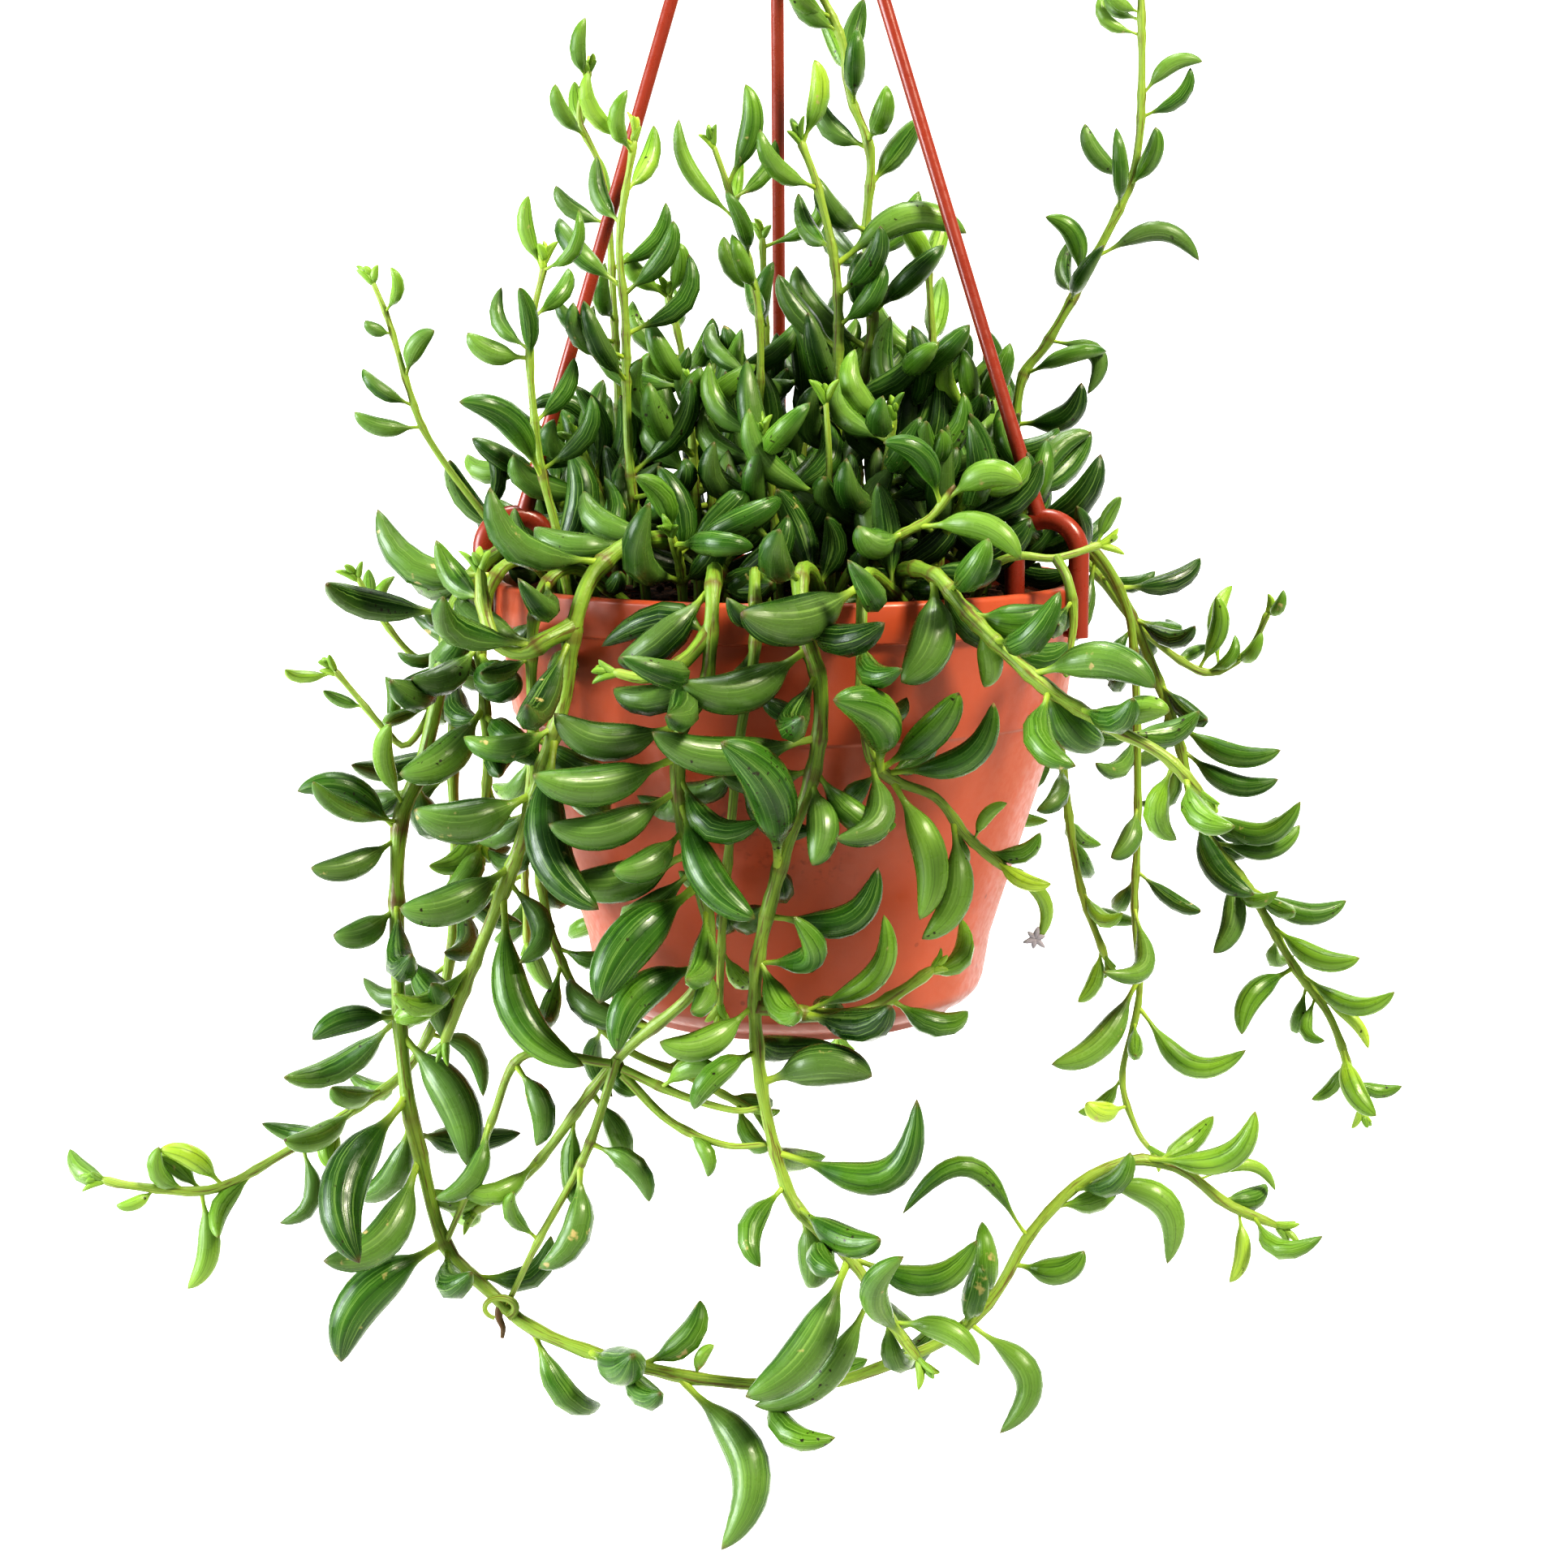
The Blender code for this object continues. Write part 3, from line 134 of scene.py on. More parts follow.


# A route's points are given. A leaf is (near point x, z), (tip x, y, z), width, bow, where a
# positive bow bulges to the left of the way from stem to tip, as seen from the front.
TRAILS = {
    "trail_front_left": Stem(
        route=[(-12, -26, SOIL_TOP), (-16, -31, 7), (-27, -42, 10.5), (-35.5, -51, 5.5), (-39.5, -55, -4.5),
               (-41.5, -54, -18), (-46, -53, -32), (-51, -50, -48), (-59, -47, -68), (-66, -44, -86)],
        radius=2.0, leaf_length=26, leaf_width=7.5, spacing=11,
        branches=[[(-39, -54, -4.5), (-44, -58, -6.5), (-48.7, -58, -9), (-53.7, -57, -7), (-56, -55, -1),
                   (-56.8, -53, 6)]],
        leaves=[((-43, -25), (-32.3, -63, -58.3), 8.6, -0.15), ((-54, -56), (-37.8, -57, -85.2), 7.4, -0.15),
                ((-48, -36), (-69, -58, -38), 8.0, 0.12), ((-54, -50), (-71.8, -54, -56.2), 7.0, 0.1)]),
    "trail_bottom_loop": Stem(
        route=[(-38, -14, SOIL_TOP), (-48, -18, 6), (-57, -22, 6.5), (-65, -26, -4), (-67.8, -29, -20),
               (-71.5, -31, -35.6), (-75.3, -33, -46), (-75.5, -37, -74), (-73.4, -42, -96),
               (-70.6, -45, -107), (-65.7, -48, -124), (-57, -51, -132), (-50.5, -54, -137),
               (-41, -57, -140.5), (-29, -60, -143), (-17, -62, -145), (4, -63, -146), (19, -62, -142),
               (31, -60, -137), (39, -58, -129.5), (45, -56, -119.5), (54.5, -54, -110), (65, -52, -106),
               (75, -50, -109), (83, -49, -115.5), (93.8, -48, -120.5)],
        radius=1.7, leaf_length=24, leaf_width=7, spacing=15,
        leaves=[((-70.5, -107), (-87, -55, -123), 7.6, 0.18), ((-73, -97), (-79, -62, -121), 9.0, -0.2),
                ((-66, -123), (-85, -54, -145), 8.6, -0.12), ((-75.5, -85), (-61, -50, -108), 7.6, 0.1),
                ((-75, -70), (-66, -46, -86), 6.2, 0.1), ((-75.3, -47), (-94, -38, -38), 5.6, -0.15),
                ((-75.3, -45), (-89, -44, -33), 3.6, 0.1), ((-75.3, -48), (-91, -42, -52), 5.0, 0.1),
                ((-75, -42), (-75, -44, -24), 3.8, 0.1), ((-75.5, -62), (-87, -42, -65), 5.4, 0.12),
                ((-75.5, -82), (-91, -44, -85), 5.0, -0.1), ((-21, -144.5), (-12, -70, -172), 8.4, 0.24),
                ((-38, -141), (-28, -66, -135), 7.0, -0.2), ((-18, -145), (-14, -62, -138.5), 2.4, 0.1),
                ((34, -135), (39, -66, -154), 6.4, 0.3), ((45, -119), (21, -60, -114), 5.2, -0.34),
                ((42, -125), (55, -60, -121), 5.4, -0.16), ((56, -109.5), (71, -56, -125), 6.4, 0.26),
                ((67, -106), (86.5, -54, -94.5), 5.4, -0.2), ((86, -117), (83.5, -52, -130), 3.0, 0.1),
                ((78, -111), (93, -46, -114), 2.6, 0.2)]),
    "trail_front_centre_left": Stem(
        route=[(-14, -42, SOIL_TOP), (-13.6, -52, 5), (-13.8, -60, 5.5), (-14, -65.5, -2), (-15.2, -67, -15),
               (-19.7, -67, -22.5), (-19.7, -66.5, -37), (-16.7, -65, -49.5), (-14.5, -64, -60),
               (-17.5, -62, -71), (-29, -58, -82), (-35, -56, -89), (-49, -51, -108.5), (-60.5, -45, -118.5)],
        radius=1.6, leaf_length=24, leaf_width=7, spacing=12,
        branches=[[(-14, -65.5, -4), (-19, -68, -9.5), (-25.6, -67.5, -12.5), (-32, -66, -11.5)]],
        leaves=[((-19, -21), (-42, -70, -18.5), 7.0, 0.14), ((-20, -27), (-45, -80, -28), 7.0, 0.1),
                ((-20, -33), (-43, -73, -38), 6.6, 0.12), ((-18, -45), (-41, -68, -50), 7.0, 0.08),
                ((-19, -41), (-31.5, -75, -46), 5.4, 0.12), ((-19.5, -34), (-6, -76, -53.5), 6.4, -0.1),
                ((-16.5, -50), (-34, -76, -70), 8.6, -0.08), ((-15.5, -65), (-31, -73, -80), 7.0, -0.16)]),
    "trail_front_centre_right": Stem(
        route=[(6, -40, SOIL_TOP), (4, -52, 5), (2, -59.5, 5.5), (2.5, -65.5, -4), (5.6, -67.5, -15),
               (4.2, -67, -30), (-1, -67, -44.5), (-5.5, -66, -62.5), (-6.3, -65, -75), (-4.8, -65, -90),
               (-1.8, -66, -103), (2, -68, -111), (11.5, -72, -119), (18.7, -75, -129.5), (23.8, -77, -136)],
        radius=1.7, leaf_length=24, leaf_width=7, spacing=12,
        branches=[[(-6.3, -65, -73), (4, -62, -75.5), (13.4, -58, -76), (21, -54, -73), (27.3, -52, -69)]],
        leaves=[((3.5, -8), (-19, -76, -12.2), 7.8, 0.14), ((4.8, -24), (-24.3, -76, -21), 6.8, 0.1),
                ((-2, -47), (-12, -80, -21.5), 8.4, -0.12), ((4, -31), (4, -76, -45), 5.6, 0.1),
                ((-6, -73), (-23.5, -72, -78), 5.6, 0.14), ((-5, -87), (15, -70, -85), 7.4, 0.1),
                ((-2.5, -101), (23, -72, -88.5), 7.6, -0.3), ((1.8, -110.5), (18.7, -74, -110), 5.8, -0.14),
                ((10.5, -118), (34, -78, -114.5), 6.2, -0.2), ((2, -111), (3.4, -74, -127.5), 6.8, 0.1),
                ((10.5, -118.5), (-8, -82, -140.5), 7.4, 0.1), ((15, -124), (-6.5, -70, -147), 5.6, 0.12),
                ((21, -132), (20, -84, -112), 5.4, 0.2), ((18.5, -129), (34, -80, -135.5), 4.6, 0.14),
                ((-5.8, -65), (0.5, -76, -54), 6.2, -0.42), ((-4.2, -57), (16, -72, -47), 6.4, -0.22),
                ((2, -76), (17, -68, -55.5), 4.8, -0.18)]),
    "trail_front_right": Stem(
        route=[(20, -36, SOIL_TOP), (21, -46, 5), (26.7, -60, 5), (32.3, -68, -1.5), (43.6, -76, -12),
               (54.9, -80, -19), (64.7, -83, -24), (71.8, -84, -31)],
        radius=1.7, leaf_length=22, leaf_width=7.5, spacing=9,
        leaves=[((26, 5), (19.5, -80, -14), 8.2, 0.12), ((32, -1), (47.5, -78, 0.5), 6.8, -0.12),
                ((43, -11), (63, -86, -12), 6.6, 0.14), ((44, -13), (57, -78, -24.5), 7.4, -0.1),
                ((55, -19), (65.5, -86, -16), 4.6, 0.1), ((33, -3), (35, -70, -14.5), 4.4, 0.1)]),
    "trail_pot_face": Stem(
        route=[(22, -44, SOIL_TOP), (16, -54, 4.5), (13.5, -61, 4.5), (12.8, -67, -6), (13.1, -66, -17),
               (14.6, -64.5, -27), (19.2, -62, -32), (26.8, -60, -35.5), (33, -57, -43.5), (40.7, -56, -50)],
        radius=1.4, leaf_length=20, leaf_width=6, spacing=12,
        leaves=[((14.5, 3), (-9.7, -74, 0.6), 8.6, 0.12), ((17, -30), (7, -75, -13.5), 8.2, -0.2),
                ((18, -31), (36.5, -68, -16.8), 5.6, -0.18), ((17, -30), (30, -72, -14.5), 5.6, -0.06),
                ((19, -32), (23.5, -68, -56.5), 6.2, 0.12), ((30, -39), (24, -66, -60.5), 5.8, 0.14),
                ((38, -47), (48, -60, -51.5), 3.0, -0.1), ((39, -48), (46, -60, -63.5), 3.0, 0.2),
                ((34, -44), (39.8, -60, -36.5), 2.4, 0.1), ((15, -28), (8, -72, -40), 6.2, 0.3)]),
    "trail_right_thin": Stem(
        route=[(40, 6, SOIL_TOP), (50, 5, 6), (60, 4, 7), (67.6, 4, -2.5), (70.8, 3, -16), (71.8, 1, -49),
               (71.3, 0, -69), (72.4, -1, -87), (69, -2, -103.5), (71.7, -4, -114), (74.8, -6, -118.5)],
        radius=1.1, leaf_length=19, leaf_width=5, spacing=20,
        leaves=[((71.3, -68), (62.5, -6, -79), 5.2, 0.42), ((70.5, -84), (53.5, -10, -99), 5.6, 0.12),
                ((72.3, -90), (93.5, -8, -96.5), 5.4, -0.24), ((69.5, -110), (61, -8, -107.5), 4.4, 0.14),
                ((71.8, -48), (65.5, -6, -57), 4.4, 0.12)]),
    "trail_right_outer": Stem(
        route=[(34, 20, SOIL_TOP), (46, 22, 5.5), (57, 22, 8), (66, 22.5, 1), (73.8, 22, -13), (82.2, 20, -35),
               (87.2, 18, -54), (97, 16, -67), (107, 14, -84), (115, 12, -95.5), (121.6, 10, -115)],
        radius=1.5, leaf_length=20, leaf_width=5.2, spacing=10,
        leaves=[((81.5, -33), (103, 12, -37.5), 4.8, -0.12), ((83, -38), (103, 14, -44), 4.8, -0.14),
                ((86, -50), (107, 10, -48), 5.6, -0.24), ((90, -58), (108.5, 18, -54.5), 4.8, -0.14),
                ((86, -52), (96.5, 8, -66.5), 5.4, -0.14), ((93, -63), (89, 8, -80), 5.0, 0.12),
                ((98, -68), (119, 14, -71), 5.0, -0.14), ((102, -76), (119.5, 12, -80), 4.8, -0.14),
                ((108, -85), (126.5, 10, -86.5), 4.4, -0.2), ((107, -84), (95, 6, -97), 5.2, -0.14),
                ((111, -90), (122, 8, -100.5), 2.6, 0.1), ((117, -101), (122.5, 6, -113), 4.6, -0.1)]),
    "trail_right_short": Stem(
        route=[(42, 24, SOIL_TOP), (50, 26, 6), (58, 29, 6), (66, 31, -2), (75, 34, -13), (86, 36, -22),
               (93, 36, -24), (100, 34, -18.5), (103.5, 32, -10)],
        radius=1.2, leaf_length=16, leaf_width=4.6, spacing=9,
        leaves=[((90, -23), (92, 32, -7), 4.0, -0.1), ((94, -23), (98, 36, -5), 3.6, 0.1)]),
    "trail_left_reach": Stem(
        route=[(-40, 4, SOIL_TOP), (-50, 3, 6), (-58.5, 2, 7), (-65, 0, -3), (-68.5, -2, -32), (-68.2, -4, -61.5),
               (-70.5, -6, -84), (-77.7, -8, -100), (-90.5, -10, -109.5), (-103, -12, -117),
               (-117.5, -14, -124), (-133.5, -16, -122.5), (-140, -16, -121)],
        radius=1.5, leaf_length=22, leaf_width=6.5, spacing=10,
        leaves=[((-88, -108), (-101.5, -14, -111), 5.0, 0.14), ((-92, -111), (-92, -16, -119), 4.6, -0.14),
                ((-115, -123), (-127, -18, -114.5), 4.4, -0.1), ((-119, -124), (-122, -18, -143.5), 4.6, 0.12),
                ((-128, -123), (-136, -18, -126), 2.6, 0.1)]),
    "trail_left_hook_upper": Stem(
        route=[(-38, 14, SOIL_TOP), (-48, 15, 6), (-58, 16, 6), (-65, 17, -5), (-71, 18, -16), (-78, 18, -19),
               (-86, 18, -10), (-91, 18, -1)],
        radius=1.1, leaf_length=15, leaf_width=4.4, spacing=10),
    "trail_left_hook_lower": Stem(
        route=[(-44, -5, SOIL_TOP), (-52, -7, 5.5), (-59, -9, 3.5), (-66, -10, -8), (-71, -10, -24),
               (-76.5, -11, -33), (-81, -11, -30), (-87, -10, -23), (-91.5, -10, -17.5)],
        radius=1.1, leaf_length=15, leaf_width=4.4, spacing=10),
    "trail_left_middle": Stem(
        route=[(-43, -25, SOIL_TOP), (-50, -30, 5.5), (-56, -33, 3), (-59, -35, -8), (-58.4, -36, -18),
               (-58, -34, -34), (-60, -30, -50)],
        radius=1.5, leaf_length=25, leaf_width=8, spacing=9,
        leaves=[((-59, -12), (-50.5, -46, -15), 8.2, -0.24), ((-58.5, -22), (-73, -48, -33), 7.0, 0.12)]),
    "trail_left_sweep": Stem(
        route=[(-31, -34, SOIL_TOP), (-40, -42, 5), (-46, -46, 1.5), (-48, -47.5, -9), (-48, -45, -30),
               (-47.5, -40, -55), (-43, -38, -73), (-33, -42, -86), (-19, -45, -92), (-6, -48, -98)],
        radius=1.3, leaf_length=21, leaf_width=6, spacing=10),
    "trail_front_middle": Stem(
        route=[(-4, -46, SOIL_TOP), (-6, -55, 5), (-6.3, -61.5, 4), (-6.3, -65.5, -8), (-9, -63, -24),
               (-11, -60.5, -44), (-12.5, -59, -62), (-13, -57, -76)],
        radius=1.3, leaf_length=20, leaf_width=6, spacing=11),
    "trail_left_back": Stem(
        route=[(-32, 26, SOIL_TOP), (-42, 34, 6), (-49, 40, 4), (-54, 44, -10), (-56, 44, -36), (-58, 38, -62),
               (-57, 30, -84)],
        radius=1.4, leaf_length=24, leaf_width=7, spacing=9),
    "trail_back_left": Stem(
        route=[(-20, 38, SOIL_TOP), (-27, 50, 6), (-31, 58, 3), (-33, 63, -12), (-34, 64, -40), (-37, 62, -70),
               (-42, 58, -92)],
        radius=1.5, leaf_length=24, leaf_width=7, spacing=9),
    "trail_back_middle": Stem(
        route=[(8, 42, SOIL_TOP), (10, 54, 6), (11, 62, 3), (12, 67, -12), (10, 67, -38), (6, 65, -66),
               (7, 63, -92), (12, 61, -112)],
        radius=1.6, leaf_length=25, leaf_width=7, spacing=9),
    "trail_back_right": Stem(
        route=[(24, 36, SOIL_TOP), (31, 47, 6), (36, 54, 3), (40, 59, -12), (42, 58, -40), (45, 52, -64)],
        radius=1.4, leaf_length=24, leaf_width=7, spacing=9),
    "trail_right_back": Stem(
        route=[(36, 30, SOIL_TOP), (46, 38, 6), (51, 42, 3), (56, 46, -12), (60, 45, -40), (64, 40, -70),
               (70, 36, -88)],
        radius=1.4, leaf_length=22, leaf_width=6, spacing=9),
}

SHOOTS = {
    "shoot_far_left": Stem(
        route=[(-48, -3, SOIL_TOP), (-56, -4, 8), (-62, -6, 14), (-72, -6, 28), (-76, -6, 38.5), (-79.5, -6, 51),
               (-83, -6, 60)],
        radius=1.0, leaf_length=15, leaf_width=4, spacing=9,
        leaves=[((-73, 30), (-86.5, -8, 33.5), 3.6, 0.1), ((-76, 41), (-70, -10, 49.5), 3.8, 0.1),
                ((-79, 49), (-84, -8, 51.5), 2.6, 0.1)]),
    "shoot_left_front": Stem(
        route=[(-42, -33, SOIL_TOP), (-44.4, -34, 12), (-47.5, -34, 26), (-49, -34, 47), (-46, -34, 62)],
        radius=1.1, leaf_length=18, leaf_width=4.6, spacing=6.5,
        leaves=[((-46, 22), (-62, -36, 37), 5.6, -0.14), ((-48.5, 44), (-60.5, -36, 49), 4.4, 0.1)]),
    "shoot_left_back": Stem(
        route=[(-30, 16, SOIL_TOP), (-34.5, 15, 23), (-36, 15, 51), (-37, 15, 71), (-38.7, 15, 83),
               (-43, 15, 93), (-40.5, 15, 103)],
        radius=1.1, leaf_length=17, leaf_width=4.8, spacing=6.5),
    "shoot_left_middle": Stem(
        route=[(-28, -21, SOIL_TOP), (-31, -23, 25), (-31.5, -24, 51), (-32.5, -24, 67), (-29.5, -24, 86)],
        radius=1.2, leaf_length=20, leaf_width=5.4, spacing=6),
    "shoot_centre_left": Stem(
        route=[(-7, -14, SOIL_TOP), (-6, -12, 15), (-6, -12, 28), (-6, -12, 53), (-11, -12, 74), (-15, -12, 86)],
        radius=1.1, leaf_length=18, leaf_width=4.8, spacing=8,
        leaves=[((-10, 71), (-21.5, -12, 90.5), 3.2, 0.1), ((-12, 77), (-8.5, -14, 97), 4.4, -0.1)]),
    "shoot_tall": Stem(
        route=[(15, 8, SOIL_TOP), (14, 8, 30), (17, 8, 51), (15.7, 8, 69), (16.5, 8, 85), (12.3, 8, 97),
               (10.6, 8, 108), (5.2, 8, 119), (2.5, 8, 124)],
        radius=1.4, leaf_length=18, leaf_width=6.2, spacing=5.5),
    "shoot_centre_right": Stem(
        route=[(9, -13, SOIL_TOP), (9.5, -10, 31), (9.5, -10, 58), (6, -10, 76), (2, -10, 87)],
        radius=1.4, leaf_length=20, leaf_width=6, spacing=7,
        leaves=[((10, 62), (35, -14, 68.5), 6.4, 0.16)]),
    "shoot_right_tall": Stem(
        route=[(38, 12, SOIL_TOP), (46, 19, 23), (48.7, 20, 39.5), (53.8, 20, 47), (61.6, 20, 61), (70, 20, 78),
               (72.4, 20, 88.5), (72.8, 20, 102), (72.4, 20, 119), (72.2, 20, 128)],
        radius=1.3, leaf_length=17, leaf_width=4.4, spacing=13,
        leaves=[((72.8, 98), (85, 18, 104.5), 3.6, 0.14), ((70.5, 80), (61, 18, 92), 3.8, 0.1),
                ((70.5, 79), (75, 14, 91), 3.8, -0.1), ((60.5, 59), (53, 18, 73), 4.6, -0.16),
                ((64, 65), (85, 18, 64), 4.6, 0.2), ((72.3, 114), (65.5, 18, 119.5), 2.6, 0.1),
                ((54.5, 47), (62, 16, 36.5), 5.0, 0.34), ((48, 30), (60.5, 14, 39), 5.6, -0.2)]),
    "shoot_front_small": Stem(
        route=[(8, -34, SOIL_TOP), (7.5, -36, 12), (7.5, -36, 26), (6.8, -36, 37)],
        radius=1.0, leaf_length=12, leaf_width=3.6, spacing=8,
        leaves=[((7.5, 17), (-7.5, -42, 35), 5.0, 0.14)]),
    "shoot_cut": Stem(
        route=[(8, -45, SOIL_TOP), (12, -47, 6), (20, -49, 11.5), (26, -49, 15), (30.5, -50, 21)],
        radius=1.2, leaf_length=14, leaf_width=5, spacing=30, bare=40,
        leaves=[((22, 10.5), (12.5, -55, 14), 6.4, 0.24), ((29, 19), (42.5, -54, 21.5), 5.6, 0.16),
                ((24, 12), (42, -58, 8), 5.2, 0.14), ((28, 18), (17, -54, 29), 5.0, -0.16)]),
    "shoot_rim_right": Stem(
        route=[(35, -33, SOIL_TOP), (38, -40, 5), (43, -43, 7.5), (50, -42, 7), (59.2, -39.5, 9.5)],
        radius=1.2, leaf_length=14, leaf_width=4.4, spacing=12,
        branches=[[(50, -42, 7), (52, -45, 3), (53, -46.5, -4), (52, -48, -11)]]),
    "shoot_back_left": Stem(
        route=[(-18, 24, SOIL_TOP), (-21, 24, 23), (-22, 24, 42), (-25.5, 24, 58)],
        radius=1.2, leaf_length=20, leaf_width=6, spacing=6),
    "shoot_back_middle": Stem(
        route=[(-4, 27, SOIL_TOP), (-3, 27, 22), (-4.7, 27, 47), (-5.6, 26, 70)],
        radius=1.2, leaf_length=18, leaf_width=5.6, spacing=7),
    "shoot_right_inner": Stem(
        route=[(27, 12, SOIL_TOP), (31, 14, 23), (30, 14, 42), (28.6, 14, 64)],
        radius=1.3, leaf_length=22, leaf_width=6.8, spacing=6.5),
    "shoot_right_front": Stem(
        route=[(32, -8, SOIL_TOP), (37, -9, 15), (36.5, -8, 34)],
        radius=1.2, leaf_length=20, leaf_width=6.6, spacing=6.5),
    "shoot_back_right": Stem(
        route=[(18, 30, SOIL_TOP), (20, 32, 20), (23, 33, 44)],
        radius=1.2, leaf_length=20, leaf_width=6, spacing=7),
}

# Short stems of the crown: foot x and y, lean x and y, height
CROWN = (
    (-20, -40, -2, -8, 12),
    (-2, -28, -3, -6, 30),
    (17, -26, 3, -6, 34),
    (28, -27, 6, -10, 20),
    (-34, -8, -8, -1, 28),
    (-18, -12, -2, -3, 40),
    (-44, 8, -8, 2, 24),
    (-16, 6, 1, 2, 44),
    (2, 12, 2, 3, 46),
    (22, -4, 2, -2, 44),
    (44, -8, 5, -4, 20),
    (-34, 33, -4, 6, 26),
    (4, 40, 1, 6, 28),
    (34, 4, 4, 1, 36),
)
CROWN_LEAF = (25.0, 7.4)


def smooth_line(points: list, step: float) -> np.ndarray:
    """Lay points on a smooth curve through the given ones.

    Args:
        points: The route's points, in millimetres.
        step: The distance between the new points.

    Returns:
        The new points, one row each.
    """
    points = np.asarray(points, float)
    ends = np.vstack([2 * points[0] - points[1], points, 2 * points[-1] - points[-2]])
    t = np.linspace(0, 1, 12, endpoint=False)[:, None]
    dense = []
    for a, b, c, d in zip(ends, ends[1:], ends[2:], ends[3:]):
        dense.append(0.5 * (2 * b + (c - a) * t + (2 * a - 5 * b + 4 * c - d) * t**2
                            + (3 * b - a - 3 * c + d) * t**3))
    dense = np.vstack(dense + [points[-1:]])
    along = np.concatenate([[0], np.cumsum(np.linalg.norm(np.diff(dense, axis=0), axis=1))])
    count = max(3, int(round(along[-1] / step)) + 1)
    at = np.linspace(0, along[-1], count)
    return np.stack([np.interp(at, along, dense[:, k]) for k in range(3)], axis=1)


def stem_line(route: list, step: float) -> np.ndarray:
    """Lay the centre line of a main stem: straight up out of the soil, then a smooth curve.

    Args:
        route: The stem's hand-chosen points.
        step: The distance between the line's points.

    Returns:
        The line's points, one row each.
    """
    x, y, z = route[0]
    return np.vstack([route[:1], smooth_line([(x, y, z + ROOT_HEIGHT)] + route[1:], step)])


def unit(vector: np.ndarray) -> np.ndarray:
    """Return the vector at length 1."""
    return vector / max(np.linalg.norm(vector), 1e-9)


def leaf_line(base: np.ndarray, tip: np.ndarray, bow: np.ndarray, at: np.ndarray) -> np.ndarray:
    """Lay a leaf's centre line, a parabola from base to tip.

    Args:
        base: Where the leaf leaves its stem.
        tip: Where the leaf ends.
        bow: How far, and which way, the middle stands off the straight way.
        at: The fractions of the way to lay points at.

    Returns:
        The line's points, one row each.
    """
    at = np.asarray(at, float)[:, None]
    return base + (tip - base) * at + bow * 4 * at * (1 - at)


def leaf_radius(width: float, at: np.ndarray) -> np.ndarray:
    """Return half the thickness that a leaf of this width keeps free round itself at the fractions `at`."""
    shape = np.interp(at, (0, 0.12, 0.28, 0.45, 0.6, 0.78, 0.92, 1), (0.26, 0.3, 0.72, 1, 0.98, 0.74, 0.36, 0.07))
    return np.maximum(0.5 * width * shape, 0.15)


def pot_outline(depth: np.ndarray) -> np.ndarray:
    """Read the pot's outline.

    Args:
        depth: Depths under the rim.

    Returns:
        The pot's outer radius at each.
    """
    depths = (0, LIP_HEIGHT, LIP_HEIGHT + 0.4, COLLAR_HEIGHT, WAIST_DEPTH, HEEL_DEPTH, POT_HEIGHT)
    radii = (RIM_RADIUS, RIM_RADIUS, RIM_RADIUS - LIP_STEP, COLLAR_RADIUS, WAIST_RADIUS, HEEL_RADIUS, FOOT_RADIUS + 3)
    return np.interp(depth, depths, radii)


def pot_is_clear(points: np.ndarray, radii: np.ndarray) -> bool:
    """Tell whether balls at these points stay out of the pot, its soil and the space under its foot.

    Args:
        points: The balls' centres.
        radii: The balls' radii.

    Returns:
        Whether all of them are clear.
    """
    out = np.hypot(points[:, 0], points[:, 1])
    depth = -points[:, 2]
    reach = radii + CLEARANCE
    beside = out > pot_outline(np.clip(depth, 0, POT_HEIGHT)) + reach
    above = depth < -reach
    inside = (out < RIM_RADIUS - LIP_WALL - reach) & (depth < SOIL_DEPTH - reach)
    below = depth > POT_HEIGHT + 14 + reach
    return bool(np.all(beside | above | inside | below))


@dataclass
class Leaf:
    """One placed leaf: its line, its width, whether it was listed, and how young it is."""

    base: np.ndarray
    tip: np.ndarray
    width: float
    bow: np.ndarray
    listed: bool
    age: float = 0.0


